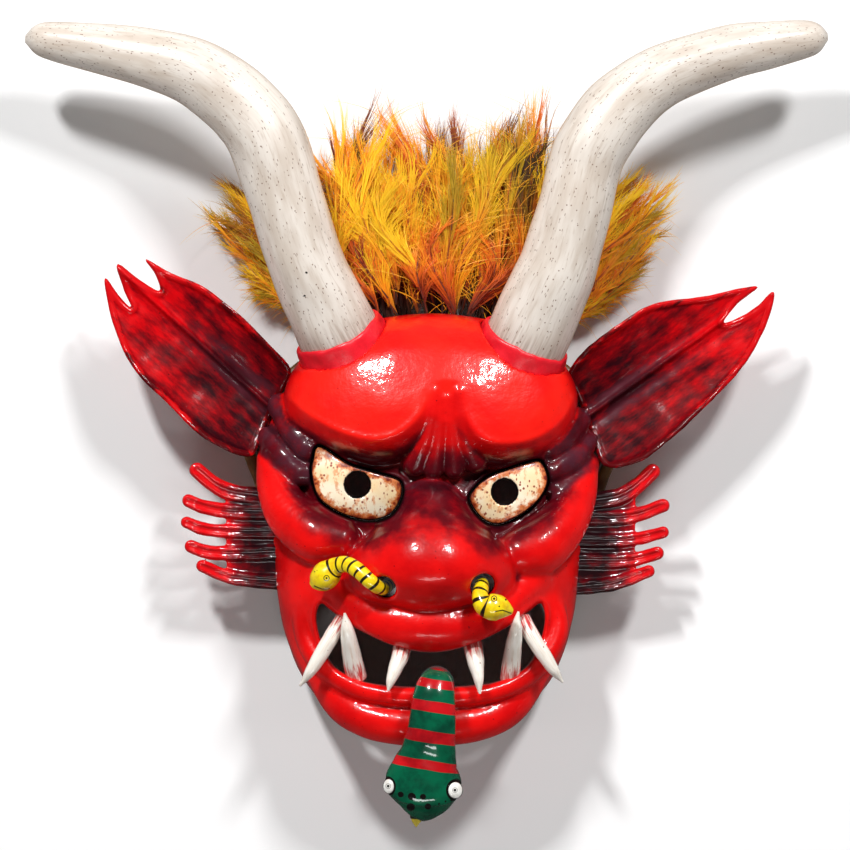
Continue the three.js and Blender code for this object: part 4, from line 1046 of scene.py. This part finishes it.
def make_ear(side, material):
    ear = EARS[side]
    ring = closed_curve(np.array(ear["outline"]), 110)

    def middle(x, y):
        t, across, _ = ear_place(ear, x, y)
        bowl = ear["cup"] * across**2 * (1 - 0.55 * np.clip(t, 0, 1))
        rib = 2.8 * ridge(across, 0, 0.045) - 1.2 * ridge(np.abs(across), 0.16, 0.08)
        lumps = 0.8 * wobble(x, y, 0, 44, 14) + 0.18 * wobble(x, y, 0, 15, 15)
        return ear["root_z"] + ear["lift"] * t + bowl + rib + lumps - EAR_THICKNESS / 2

    def form(x, y, z):
        away = outline_distance(x, y, ring)
        off = z - middle(x, y)
        leaf = trim(np.abs(off) * EAR_SLOPE - 1.7, away + EAR_RIM, 1.0)
        rim = np.hypot(away + EAR_RIM, EAR_SLOPE * (off - 0.8)) - EAR_RIM + 0.25 * wobble(x, y, z, 13, 8)
        return blend(leaf, rim, 1.6)

    low, high = (*(ring.min(0) - 5), EAR_LEVELS[0]), (*(ring.max(0) + 5), EAR_LEVELS[1])
    points, quads = moulded(form, low, high, EAR_CELL)
    x, y, z = points.T
    t, across, length = ear_place(ear, x, y)
    away = outline_distance(x, y, ring)
    lay = np.stack([across * ear["half"], t * length, z * 0.5], 1)
    # Painted shade: darker towards the root and in hollows, lighter towards the tip.
    shade = 0.15 * fade(t, 0.0, 0.6) - 0.1 * smooth(t, 0.5, 1.0)
    shade = shade + 0.2 * smooth(depth_of(points, quads), 0.1, 0.9)
    # Painted sheen: purple-grey along both sides of the rib, fading towards the tip.
    bloom = ridge(np.abs(across + 0.05), 0.15, 0.08) * fade(t, 0.3, 0.8)
    name = "ear_" + side
    return piece("leaf_" + name, points, quads, material, name, "dark_red_lacquer",
                 lay=lay, shade=shade, bloom=bloom * 0.7, rim=smooth(away, -5.4, -3.4))


def depth_of(points, quads):
    return hollows(points, quads, SMALL_CREASE_PASSES)[0]


# Cheek fins: five grooved prongs each, from tip to root, joined by a web.
FINS = {
    "left": (
        ((-166, -35.5), (-152.3, -46.8), (-137.9, -52.6), (-108, -56)),
        ((-172, -57.8), (-158.8, -62.6), (-140, -65.5), (-108, -66)),
        ((-173, -73.4), (-160.2, -78.3), (-140, -80), (-106, -80)),
        ((-170, -90.6), (-158.8, -94.6), (-138, -96), (-104, -95)),
        ((-162, -104.9), (-148, -111), (-134, -114.5), (-102, -117)),
    ),
    "right": (
        ((163.5, -36.5), (150.5, -48.5), (136, -56), (110, -59)),
        ((171, -61), (156, -67), (140, -70), (110, -70)),
        ((171, -80.5), (156, -84.5), (138, -86.5), (108, -86)),
        ((167, -95.6), (154, -99.5), (136, -101.5), (106, -101)),
        ((160.5, -108.5), (147, -114), (132, -118.5), (104, -121)),
    ),
}
FIN_Z = (40, 52)  # middle of a prong at the cheek and at its tip
FIN_FROM, FIN_REACH = 118, 52  # where the prongs begin to rise, from the middle line, and over what distance
PRONG_RADIUS = (6.0, 5.2, 4.7, 5.1, 4.9)
PRONG_STEPS = 8
WEB_END = 148  # edge of the web, from the middle line
WEB_HALF = 2.4


def fin_height(x):
    out = np.clip((np.abs(x - MID_X) - FIN_FROM) / FIN_REACH, 0, 1)
    return FIN_Z[0] + (FIN_Z[1] - FIN_Z[0]) * out**2


def make_fin(side, material):
    prongs = []
    for line, radius in zip(FINS[side], PRONG_RADIUS):
        path = spline(line, np.linspace(0, 1, PRONG_STEPS + 1))
        swell = np.linspace(0.92, 1.17, len(path)) * radius
        prongs.append([(x, y, fin_height(x), r) for (x, y), r in zip(path, swell)])
    way = 1 if side == "right" else -1
    lines = [np.array(prong) for prong in prongs]
    notch_x = MID_X + way * WEB_END

    def form(x, y, z):
        d = None
        for prong in prongs:
            bar = roll(x, y, z, prong)
            groove = [(px, py, pz + r * 0.98, r * 0.46) for px, py, pz, r in prong]
            bar = trim(bar, -roll(x, y, z, groove), 1.6)
            d = bar if d is None else blend(d, bar, 1.5)
        borders = [line[::-1] for line in (lines[0], lines[-1])]
        high, deep = (np.interp(way * x, way * line[:, 0], line[:, 1]) for line in borders)
        thick = np.abs(z - fin_height(x) + 1) - WEB_HALF
        web = np.maximum.reduce([thick, y - high, deep - y, way * (x - notch_x)])
        return blend(d, web, 2.0) + 0.25 * wobble(x, y, z, 14, 17)

    ends = np.vstack(lines)[:, :3]
    points, quads = moulded(form, ends.min(0) - 8, ends.max(0) + 8, FIN_CELL)
    out = np.abs(points[:, 0] - MID_X)
    depth = depth_of(points, quads)
    # Near-black towards the root, with painted shade in the grooves and painted light on the ridges.
    glaze = 0.95 * fade(out, 120, 164) + 0.8 * smooth(depth, 0.1, 0.8) - 0.3 * smooth(-depth, 0.2, 1.0)
    name = "cheek_fin_" + side
    return piece("grooved_" + name, points, quads, material, name, "red_lacquer", glaze=glaze)


# Fangs, from the gum to the point.
FANGS = {
    "outer_left": ((-60, -141, 96, 5), (-68, -154, 103, 5.6), (-81, -176, 104, 4.6),
                   (-90.5, -189.5, 100, 0.8)),
    "lower_left": ((-50, -184, 92, 7.6), (-53, -170, 100, 7), (-56.5, -150, 112, 5),
                   (-58.3, -137, 116, 0.8)),
    "upper_left": ((-17, -161, 104, 6.6), (-20, -171, 112, 6), (-25, -184, 118, 3.8),
                   (-27.4, -192.5, 119, 0.8)),
    "upper_right": ((33, -160, 104, 7), (35, -171, 112, 6.2), (37, -184, 118, 3.8),
                    (38, -194.5, 119, 0.8)),
    "lower_right": ((60, -185, 92, 7.4), (61, -171, 100, 6.6), (63.5, -151, 112, 4.8),
                    (65.5, -136, 116, 0.8)),
    "outer_right": ((69, -141, 96, 5), (76, -155, 103, 5.6), (89, -175, 104, 4.6),
                    (97.5, -187, 100, 0.8)),
}


def make_fang(key, material):
    sides, rings = 36, 60
    t = 1 - (1 - np.linspace(0, 1, rings)) ** 1.15
    path = spline(FANGS[key], t)
    points, faces, turn = loft(path[:, :3], path[:, 3], sides)
    long = np.linalg.norm(np.subtract(FANGS[key][-1][:3], FANGS[key][0][:3]))
    lay = lay_of(path[:, 3], t * long, turn)
    points = roughened(points, 0.16, 14, (1, 2, 3))
    stain = per_ring(0.95 - 1.25 * smooth(t, 0.1, 0.62), sides)
    name = "fang_" + key
    return piece("ivory_" + name, points, faces, material, name, "fang_ivory", lay=lay, stain=stain)


# Snakes: the tongue, and one out of each nostril.
TONGUE = (
    (7.2, -187.5, 80, 12.2), (7.2, -187.8, 100, 12.4), (7, -188.6, 117, 12.8), (6, -192, 129, 14.4),
    (4.8, -203, 134.5, 15.8), (3.6, -218, 133.5, 17.2), (2, -231, 127, 18.8), (0.6, -240, 122, 20.8),
    (-1.2, -248, 118, 24), (-2.2, -256, 113.5, 27), (-2.6, -264, 109.5, 26), (-3.2, -271.5, 107, 20.5),
    (-4.4, -277.5, 105, 14), (-5.6, -281.5, 103.5, 8.5), (-6.6, -283.6, 102.8, 4),
)
TONGUE_FLAT = 0.62
TONGUE_LEVEL = 126
# Middle Y and width of each red band.
TONGUE_BANDS = ((-175.5, 2.4), (-186.5, 6.2), (-203, 7.8), (-224.6, 8.6), (-245.2, 6.8))
BAND_SLANT = 0.16
TONGUE_DOTS = (
    (-10.4, -267.1, 2.9), (-2.5, -267.1, 2.2), (-18.4, -265.7, 2.2), (-11.2, -275, 2.9), (1.1, -274.3, 2.3),
    (13.3, -270.7, 0.8), (17.6, -270, 0.8), (9, -272.5, 0.8),
)
TONGUE_EYES = ((-27, -260, 4.0, 5.4), (20.5, -262.8, 5.3, 6.1))  # X, Y and half sizes
TONGUE_CROWN = ((-2.5, -258), (7, 14))  # the dip between the eyes: middle and reach
INK_LEVEL = 100  # the dots are only on the upper side
NOSE_POINT = (
    (-6.2, -275, 117.5, 3.6), (-6.8, -279.5, 115.5, 5), (-7.2, -284.2, 112, 4.1), (-7.5, -290, 107.5, 0.5),
)
NOSE_POINT_FROM = -280


SNAKE_EYE_SUNK, SNAKE_EYE_HEIGHT, SNAKE_EYE_LEAN = 1.6, 3.0, 0.45


def flattened(z):
    return TONGUE_LEVEL + (z - TONGUE_LEVEL) * TONGUE_FLAT


def make_tongue():
    sides, rings = 96, 230
    path = spline(TONGUE, np.linspace(0, 1, rings))
    points, faces, _ = loft(path[:, :3], path[:, 3], sides)
    x, y, z = points.T
    relief = 2.2 * sum(spot(x, y, eye[:2], (9, 9)) for eye in TONGUE_EYES) - 1.2 * spot(x, y, *TONGUE_CROWN)
    points[:, 2] = flattened(z) + np.where(z > np.interp(-y, -path[:, 1], path[:, 2]), relief, 0)
    points = roughened(points, 0.25, 16, (4, 5, 6))
    lean = y + BAND_SLANT * (x - 4)
    band = np.min([np.abs(lean - at) - wide / 2 for at, wide in TONGUE_BANDS], axis=0)
    ink = np.min([np.hypot(x - dx, y - dy) - r for dx, dy, r in TONGUE_DOTS], axis=0)
    for ex, ey, rx, ry in TONGUE_EYES:
        ink = np.minimum(ink, (np.hypot((x - ex) / rx, (y - ey) / ry) - 1.28) * rx)
    ink = np.where(points[:, 2] > INK_LEVEL, ink, FAR)
    made = piece("green_tongue_snake", points, faces, tongue_paint(), "tongue_snake", "snake_green",
                 band=band, ink=ink, tip=np.full(len(points), -FAR))
    return made, points


def make_tongue_tip(material):
    """The horny point under the snake's nose, part of the same snake."""
    sides, rings = 40, 40
    path = spline(NOSE_POINT, np.linspace(0, 1, rings))
    points, faces, _ = loft(path[:, :3], path[:, 3], sides, flat=0.8)
    far = np.full(len(points), FAR)
    return piece("snake_nose_point", points, faces, material, "tongue_snake", "snake_green",
                 band=far, ink=far, tip=NOSE_POINT_FROM - points[:, 1])


def make_tongue_eye(index, surface, material):
    """A domed white eye on the side of the snake's head, with a black pupil."""
    ex, ey, rx, ry = TONGUE_EYES[index]
    near = np.hypot(surface[:, 0] - ex, surface[:, 1] - ey) < 2.5
    level = surface[near][:, 2].max()
    rings, sides = 22, 48
    lean = math.copysign(SNAKE_EYE_LEAN, ex - MID_X)
    share = np.linspace(0, 1, rings)
    turn = np.linspace(0, 2 * math.pi, sides, endpoint=False)
    height = np.sqrt(np.maximum(1 - share**2, 0))
    dome = np.stack([np.outer(share, np.cos(turn)), np.outer(share, np.sin(turn)),
                     np.repeat(height[:, None], sides, 1)], 2).reshape(-1, 3)
    raised = level - SNAKE_EYE_SUNK + SNAKE_EYE_HEIGHT * dome[:, 2] - lean * rx * dome[:, 0]
    points = np.stack([ex + rx * dome[:, 0], ey + ry * dome[:, 1], raised], 1)
    faces = [[a, d, c, b] for a, b, c, d in ring_quads(rings, sides)]
    pupil = np.hypot(points[:, 0] - ex + 0.3, points[:, 1] - ey - 0.2)
    ink = np.minimum(pupil - 1.0, np.abs(pupil - 1.75) - 0.16)
    ink = np.minimum(ink, 0.93 * rx - np.hypot(dome[:, 0], dome[:, 1]) * rx)
    name = "snake_eye_" + ("left", "right")[index]
    return piece(name, points, faces, material, "tongue_snake", "snake_green", ink=ink)


NOSTRIL_SNAKES = {
    "left": ((-26, -116, 112, 4.6), (-32, -119, 130, 5), (-40, -114, 137, 5.4), (-49, -106, 134, 5.6),
             (-57, -102, 127, 5.8), (-64, -103.5, 121.5, 6.6), (-69.5, -108, 118, 9.8), (-74, -112, 116, 9.9),
             (-79, -115.4, 114.6, 7), (-82.2, -117.4, 114, 2.4)),
    "right": ((37, -113, 112, 5), (39, -117, 130, 5.4), (38, -124, 138, 5.8), (40.5, -130, 140, 7.6),
              (46, -132, 140.5, 9.6), (51.5, -132.6, 139.5, 9), (56.5, -134, 138.4, 6),
              (61, -135.6, 137.6, 2)),
}
# Spacing of the rings, and the share of the length that is ringed.
SNAKE_RINGS = {"left": (6.4, 0.62), "right": (6.0, 0.5)}
# Marks on the heads: the eye's place, more dots as X, Y and radius, and the mouth's line.
SNAKE_MARKS = {
    "left": {"eye": (-71.2, -111.9, 0.75), "dots": ((-79.6, -107.4, 0.5), (-78, -106.4, 0.4)),
             "mouth": ((-80, -117.6), (-74.5, -119.9), (-69.2, -119.6))},
    "right": {"eye": (47.9, -126, 0.9), "dots": ((56.2, -126.8, 0.7), (51.5, -131.4, 0.6)),
              "mouth": ((48.6, -135), (54, -134.2), (60, -136.6))},
}
SNAKE_EYE_RING = 1.9
RING_HALF, EYE_RING_HALF, MOUTH_LINE_HALF = 0.85, 0.32, 0.4  # half widths of the drawn lines


def make_nostril_snake(side, material):
    sides, rings = 104, 220
    t = np.linspace(0, 1, rings)
    path = spline(NOSTRIL_SNAKES[side], t)
    points, faces, turn = loft(path[:, :3], path[:, 3], sides)
    spacing, share = SNAKE_RINGS[side]
    place = per_ring(run_of(path[:, :3]), sides) + 0.35 * np.sin(2 * per_side(turn, rings))
    ink = np.abs((place / spacing) % 1 - 0.5) * spacing - RING_HALF
    ink = np.where(per_ring(t, sides) < share, ink, FAR)
    x, y, z = points.T
    level = per_ring(path[:, 2], sides)
    marks = SNAKE_MARKS[side]
    drawn = [np.hypot(x - dx, y - dy) - r for dx, dy, r in (marks["eye"], *marks["dots"])]
    drawn.append(np.abs(drawn[0] + marks["eye"][2] - SNAKE_EYE_RING) - EYE_RING_HALF)
    drawn.append(roll(x, y, 0, [(mx, my, 0, MOUTH_LINE_HALF) for mx, my in marks["mouth"]]))
    ink = np.minimum(ink, np.where(z > level - 1, np.min(drawn, axis=0), FAR))
    name = "nostril_snake_" + side
    # The under value is a painted shade, darker below the middle of the body.
    return piece("yellow_" + name, points, faces, material, name, "snake_yellow", ink=ink,
                 under=smooth(level - z, 1, 5))


# Feathers: plumes of soft barbs, as narrow strips that flow along a bent shaft and gather in wisps.
BARB_STEPS = 7
SHAFT_STEPS = 6
LAST_WISP = 0.82  # share of the shaft at which the last wisps start
# How far a hair's guide points go onward and aside.
HAIR_CURVE = ((0, 0), (0.4, 0.2), (0.75, 0.8), (0.8, 1.7))


def strips(lines, width, facing):
    """Narrow tapering strips, each bent by its four guide points and turned to face the given way."""
    s = np.linspace(0, 1, BARB_STEPS)[None, :, None]
    start, leave, near, end = (line[:, None] for line in lines)
    path = start * (1 - s) ** 3 + leave * 3 * s * (1 - s) ** 2 + near * 3 * s**2 * (1 - s) + end * s**3
    flat = np.cross(np.gradient(path, axis=1), facing[:, None])
    flat /= np.maximum(np.linalg.norm(flat, axis=2), 1e-9)[..., None]
    half = width[:, None, None] * 0.5 * (1 - 0.92 * s**1.4)
    points = np.stack([path - flat * half, path + flat * half], 2)
    base = (np.arange(len(path)) * BARB_STEPS * 2)[:, None]
    step = 2 * np.arange(BARB_STEPS - 1)[None, :]
    quads = np.stack([base + step, base + step + 1, base + step + 3, base + step + 2], 2)
    return points.reshape(-1, 3), quads.reshape(-1, 4), np.tile(np.repeat(s[0, :, 0], 2), len(path))


def one_plume(root, tip, bend, half, wisps, barbs, bare):
    """Guide points, widths, facing and shades of a plume's barbs, which run on along its shaft in wisps."""
    root, whole = np.asarray(root, float), np.subtract(tip, root)
    aside = np.cross(whole, (0, 0, 1))
    aside /= np.linalg.norm(aside)

    def shaft(place):
        turn = np.pi * np.clip(place, 0, 1)[:, None]
        sway = bend[0] * np.sin(turn) + bend[1] * np.sin(2 * turn)
        return root + whole * place[:, None] + aside * sway + np.array([0, 0, bend[2]]) * np.sin(turn)

    at = bare + (LAST_WISP - bare) * rng.uniform(0, 1, wisps) ** 0.8
    run = rng.uniform(0.18, 0.42, wisps) * (1.1 - 0.3 * at)
    swell = np.sin(np.pi * (0.1 + 0.76 * (at - bare) / (LAST_WISP - bare))) ** 0.8
    spread = half * swell * rng.uniform(0.1, 1.0, wisps) * rng.choice([-1, 1], wisps)
    flick = rng.uniform(0.6, 1.9, wisps)
    lift = rng.normal(0, 1.3, wisps) + 3.0 * (1 - (spread / half) ** 2)
    group = np.repeat(np.arange(wisps), barbs)
    count = len(group)
    start_at = np.clip(at[group] + rng.uniform(-0.09, 0.05, count), 0, 1)
    end_at = at[group] + run[group] * rng.uniform(0.78, 1.06, count)
    own = 1 + rng.normal(0, 0.1, count)

    def guide(share, out, up, loose):
        point = shaft(start_at + (end_at - start_at) * share)
        point = point + aside * (spread[group] * own * out)[:, None] + rng.normal(0, loose, (count, 3))
        point[:, 2] += lift[group] * up
        return point

    barb = [guide(0, 0.06, 0.2, 0.35), guide(0.34, 0.42, 0.8, 0.5), guide(0.7, 0.95, 1.0, 1.1),
            guide(1, flick[group] + rng.normal(0, 0.3, count), 0.7, 3.0)]
    steps = shaft(np.linspace(0, 0.9, SHAFT_STEPS + 1)) + (0, 0, 2.6)
    joint = [steps[:-1] + (steps[1:] - steps[:-1]) * f for f in (0, 1 / 3, 2 / 3, 1)]
    lines = [np.vstack([a, b]) for a, b in zip(barb, joint)]
    width = np.concatenate([rng.uniform(0.5, 1.2, count), np.linspace(1.8, 0.7, SHAFT_STEPS)])
    lean = aside * (0.8 * spread[group] / half)[:, None] + (0, 0, 1) + rng.normal(0, 0.22, (count, 3))
    facing = np.vstack([lean, np.tile((0, 0, 1), (SHAFT_STEPS, 1))])
    shade = rng.normal(0, 0.1, wisps)[group] + rng.normal(0, 0.05, count)
    shade = shade - 0.12 * np.abs(spread[group]) / half
    quill = np.repeat([0.0, 1.0], [count, SHAFT_STEPS])
    return lines, width, facing, np.concatenate([shade, np.full(SHAFT_STEPS, 0.3)]), quill


def stray_hairs(plumes, count, reach):
    """Guide points of single fine hairs that stand away from the plumes in wide curves."""
    chosen = rng.integers(0, len(plumes), count)
    roots = np.array([plumes[n][0] for n in chosen])
    whole = np.array([np.subtract(plumes[n][1], plumes[n][0]) for n in chosen])
    start = roots + whole * rng.uniform(0.25, 0.95, count)[:, None] + rng.normal(0, 3, (count, 3))
    way = whole / np.linalg.norm(whole, axis=1)[:, None] * rng.uniform(12, 34, count)[:, None] * reach
    swing = np.cross(way, (0, 0, 1)) * rng.normal(0, 0.8, count)[:, None]
    swing[:, 2] += rng.uniform(0, 5, count)
    lines = [start + onward * way + aside * swing for onward, aside in HAIR_CURVE]
    facing = rng.normal(0, 0.3, (count, 3)) + (0, 0, 1)
    return lines, rng.uniform(0.28, 0.5, count), facing


def make_feathers(name, plumes, hairs, reach, ceiling, material):
    """A tuft of plumes and single hairs. Each plume is given as in the loop below."""
    layers = {"points": [], "quads": [], "warmth": [], "brown": []}
    count = 0

    def add(points, quads, warmth, brown):
        nonlocal count
        added = (points, quads + count, np.clip(warmth, 0, 1), np.clip(brown, 0, 1))
        for layer, values in zip(layers.values(), added):
            layer.append(values)
        count += len(points)

    for root, tip, bend, half, wisps, barbs, bare, warmth, brown, gap in plumes:
        lines, width, facing, shade, quill = one_plume(root, tip, bend, half, wisps, barbs, bare)
        points, quads, share = strips(lines, width, facing)
        whole = np.subtract(tip, root)
        toward = np.clip((points - root) @ whole / (whole @ whole), 0, 1.2)
        own, quill = np.repeat(shade, BARB_STEPS * 2), np.repeat(quill, BARB_STEPS * 2)
        # Painted shade: near-black at each plume's root up to the share gap, where the plumes lie under one
        # another; brown towards the tips and on the quill is the feathers' own.
        dark = brown * smooth(toward, 0.25, 0.85) + 0.97 * fade(toward, 0.08, gap) + 0.45 * quill
        glow = warmth + 0.55 * (1 - np.minimum(toward, 1)) ** 1.3 - 0.3 * share * toward
        add(points, quads, glow + own, dark)
    points, quads, share = strips(*stray_hairs(plumes, hairs, reach))
    add(points, quads, 0.3 - 0.2 * share, 0.1 * share)
    made = {title: np.concatenate(parts) for title, parts in layers.items()}
    made["points"][:, 2] = np.clip(made["points"][:, 2], 1.0, ceiling)
    return piece(name + "_barbs", made["points"], made["quads"], material, name, "feather_orange",
                 warmth=made["warmth"], brown=made["brown"])


# Upper edge of the crest, left to right: X, Y and how brown the tips are.
CREST_EDGE = np.array((
    (-86, 196, 0.0), (-66, 214, 0.0), (-46, 232, 0.0), (-34, 236, 0.05), (-16, 212, 0.1), (2, 224, 0.4),
    (8, 232, 0.8), (22, 216, 0.6), (32, 238, 0.3), (48, 214, 0.6), (62, 224, 0.8),
    (78, 238, 1.0), (92, 238, 0.5),
))
# Layers of the crest from the back: plumes, level at the root, rise to the tip, shares of the full length
# that they reach, warmth, brown (high on the back layer, a painted shade behind the others), share of the
# shaft that is bare and share up to which it is painted dark as shade.
CREST_LAYERS = (
    (17, 9, 4, (0.88, 1.0), 0.9, 0.75, 0.0, 0.7), (20, 14, 12, (0.8, 1.02), 0.5, 0.0, 0.0, 0.6),
    (17, 19, 20, (0.65, 1.0), 0.26, 0.0, 0.16, 0.42), (11, 24, 22, (0.56, 0.92), 0.16, 0.0, 0.22, 0.42),
    (7, 28, 16, (0.42, 0.68), 0.6, 0.0, 0.24, 0.44),
)
CREST_CEILING, TUFT_CEILING = 56, 36
CREST_HAIRS, TUFT_HAIRS = (1900, 0.8), (320, 0.36)  # how many, and their reach
CREST_WISPS, TUFT_WISPS = (20, 9), (15, 8)  # wisps on a plume, and barbs in each
CREST_ROOT_Y, CREST_GATHER = 58, 0.56  # where the plumes start, and how much closer together than they end
TUFT_ROOT_Y, TUFT_GATHER = 50, 0.52
# The tufts' plume shafts are bare up to TUFT_BARE and painted dark as shade up to TUFT_GAP.
TUFT_BARE, TUFT_GAP = 0.08, 0.36


def crest_feathers():
    made = []
    left, right = CREST_EDGE[[0, -1], 0]
    for plumes, level, rise, (short, full), warmth, brown_more, bare, gap in CREST_LAYERS:
        for n in range(plumes):
            x = left + (right - left) * (n + rng.uniform(0.1, 0.9)) / plumes
            y, brown = (np.interp(x, CREST_EDGE[:, 0], CREST_EDGE[:, k]) for k in (1, 2))
            length = rng.uniform(short, full)
            root = np.array([x * CREST_GATHER + 2 + rng.normal(0, 5), CREST_ROOT_Y + rng.normal(0, 4),
                             level + rng.normal(0, 2)])
            tip = np.array([root[0] + (x - root[0]) * length + rng.normal(0, 7), 60 + (y - 64) * length,
                            level + rise * rng.uniform(0.4, 1.0)])
            bend = (rng.normal(0, 13), rng.normal(0, 8), rng.uniform(2, 8))
            dark = max(brown * rng.uniform(0.1, 1.0) * (length > 0.8), brown_more * rng.uniform(0.6, 1.0))
            half = rng.uniform(8, 18)
            tint = warmth + rng.uniform(-0.14, 0.2)
            made.append((root, tip, bend, half, *CREST_WISPS, bare, tint, dark, gap))
    return made


TUFT_TIPS = {
    "left": ((-164, 152), (-160, 158), (-155, 186), (-150, 176), (-142, 126), (-146, 140), (-134, 98),
             (-138, 112), (-128, 92), (-146, 166)),
    "right": ((184, 160), (180, 176), (172, 128), (176, 142), (163, 190), (168, 180), (154, 102), (162, 114),
              (140, 90), (172, 154)),
}


def tuft_feathers(side):
    made = []
    for x, y in TUFT_TIPS[side]:
        for layer in range(2):
            root = np.array([x * TUFT_GATHER + rng.normal(0, 4),
                             TUFT_ROOT_Y + 0.3 * (y - TUFT_ROOT_Y) + rng.normal(0, 4), 10 + 6 * layer])
            reach = rng.uniform(0.86, 1.0)
            across, up = root[:2] + (np.array([x, y]) - root[:2]) * reach
            tip = np.array([across, up, rng.uniform(12, 26)])
            bend = (rng.normal(0, 5), rng.normal(0, 4), rng.uniform(1, 5))
            warmth = 0.5 - 0.28 * layer + rng.uniform(-0.12, 0.16)
            half, brown = rng.uniform(6, 9), rng.choice([0, 0, 0.5])
            made.append((root, tip, bend, half, *TUFT_WISPS, TUFT_BARE, warmth, brown, TUFT_GAP))
    return made


# Stage, light and camera.
PHOTO_WIDTH = 612.0  # what the picture's width covers at the height of the face
AIM = (-1.1, -2.9, 70.0)
CAMERA_DISTANCE = 5.0  # metres
FLOOR_HALF = 6.0
SOFTBOX_AIM, FILL_AIM = (0, 0, 0), (0, 0, 0.05)
ROOM_LIGHT = 0.05


def make_stage():
    mesh = bpy.data.meshes.new("pale_floor")
    corners = [(x * FLOOR_HALF, y * FLOOR_HALF, 0) for x, y in ((-1, -1), (1, -1), (1, 1), (-1, 1))]
    mesh.from_pydata(corners, [], [(0, 1, 2, 3)])
    floor = bpy.data.objects.new("pale_floor", mesh)
    bpy.context.scene.collection.objects.link(floor)
    f = Finish("pale_floor", Roughness=0.9)
    f.color(f.mix(f.noise(3, 2), (0.9, 0.9, 0.9, 1), (0.92, 0.92, 0.92, 1)))
    mesh.materials.append(f.material)
    floor.visible_glossy = False


def area_light(name, at, aim, size, power, mirrored=True):
    data = bpy.data.lights.new(name, "AREA")
    data.shape = "RECTANGLE"
    data.size, data.size_y = size
    data.energy = power
    lamp = bpy.data.objects.new(name, data)
    lamp.location = at
    way = np.subtract(aim, at)
    lamp.rotation_euler = Vector(way).to_track_quat("-Z", "Y").to_euler()
    lamp.visible_glossy = mirrored
    bpy.context.scene.collection.objects.link(lamp)


def make_light():
    area_light("left_softbox", (-1.1, 2.3, 2.7), SOFTBOX_AIM, (0.28, 0.46), 104)
    area_light("right_softbox", (1.3, 2.3, 2.7), SOFTBOX_AIM, (0.4, 0.6), 92)
    area_light("low_strip", (0.0, -1.7, 1.9), SOFTBOX_AIM, (1.3, 0.22), 10)
    area_light("left_fill", (-2.6, -0.3, 0.6), FILL_AIM, (0.5, 0.9), 9, mirrored=False)
    area_light("right_fill", (2.6, -0.3, 0.6), FILL_AIM, (0.5, 0.9), 8, mirrored=False)
    world = bpy.data.worlds.new("soft_room")
    world.use_nodes = True
    back = world.node_tree.nodes["Background"]
    back.inputs["Color"].default_value = (1, 1, 1, 1)
    back.inputs["Strength"].default_value = ROOM_LIGHT
    bpy.context.scene.world = world
    bpy.context.scene.view_settings.view_transform = "Standard"


def make_camera():
    data = bpy.data.cameras.new("camera")
    data.lens = data.sensor_width * CAMERA_DISTANCE / (PHOTO_WIDTH * MM)
    data.clip_end = 50
    camera = bpy.data.objects.new("camera", data)
    camera.location = (AIM[0] * MM, AIM[1] * MM, AIM[2] * MM + CAMERA_DISTANCE)
    bpy.context.scene.collection.objects.link(camera)
    bpy.context.scene.camera = camera


def build():
    make_camera()
    make_light()
    make_stage()
    make_face()
    make_back()
    eye, bone, collar, ear, fin = eye_cream(), horn_bone(), collar_band(), ear_lacquer(), fin_lacquer()
    yellow, ivory, feather = snake_yellow(), fang_ivory(), feather_dye()
    for side in ("left", "right"):
        make_eye(side, eye)
        make_horn(side, bone)
        make_collar(side, collar)
        make_ear(side, ear)
        make_fin(side, fin)
        make_nostril_snake(side, yellow)
        make_feathers("feather_tuft_" + side, tuft_feathers(side), *TUFT_HAIRS, TUFT_CEILING, feather)
    for key in FANGS:
        make_fang(key, ivory)
    tongue, surface = make_tongue()
    make_tongue_tip(tongue.data.materials[0])
    white = snake_eye_paint()
    for index in range(len(TONGUE_EYES)):
        make_tongue_eye(index, surface, white)
    make_feathers("feather_crest", crest_feathers(), *CREST_HAIRS, CREST_CEILING, feather)


build()
bpy.context.view_layer.update()
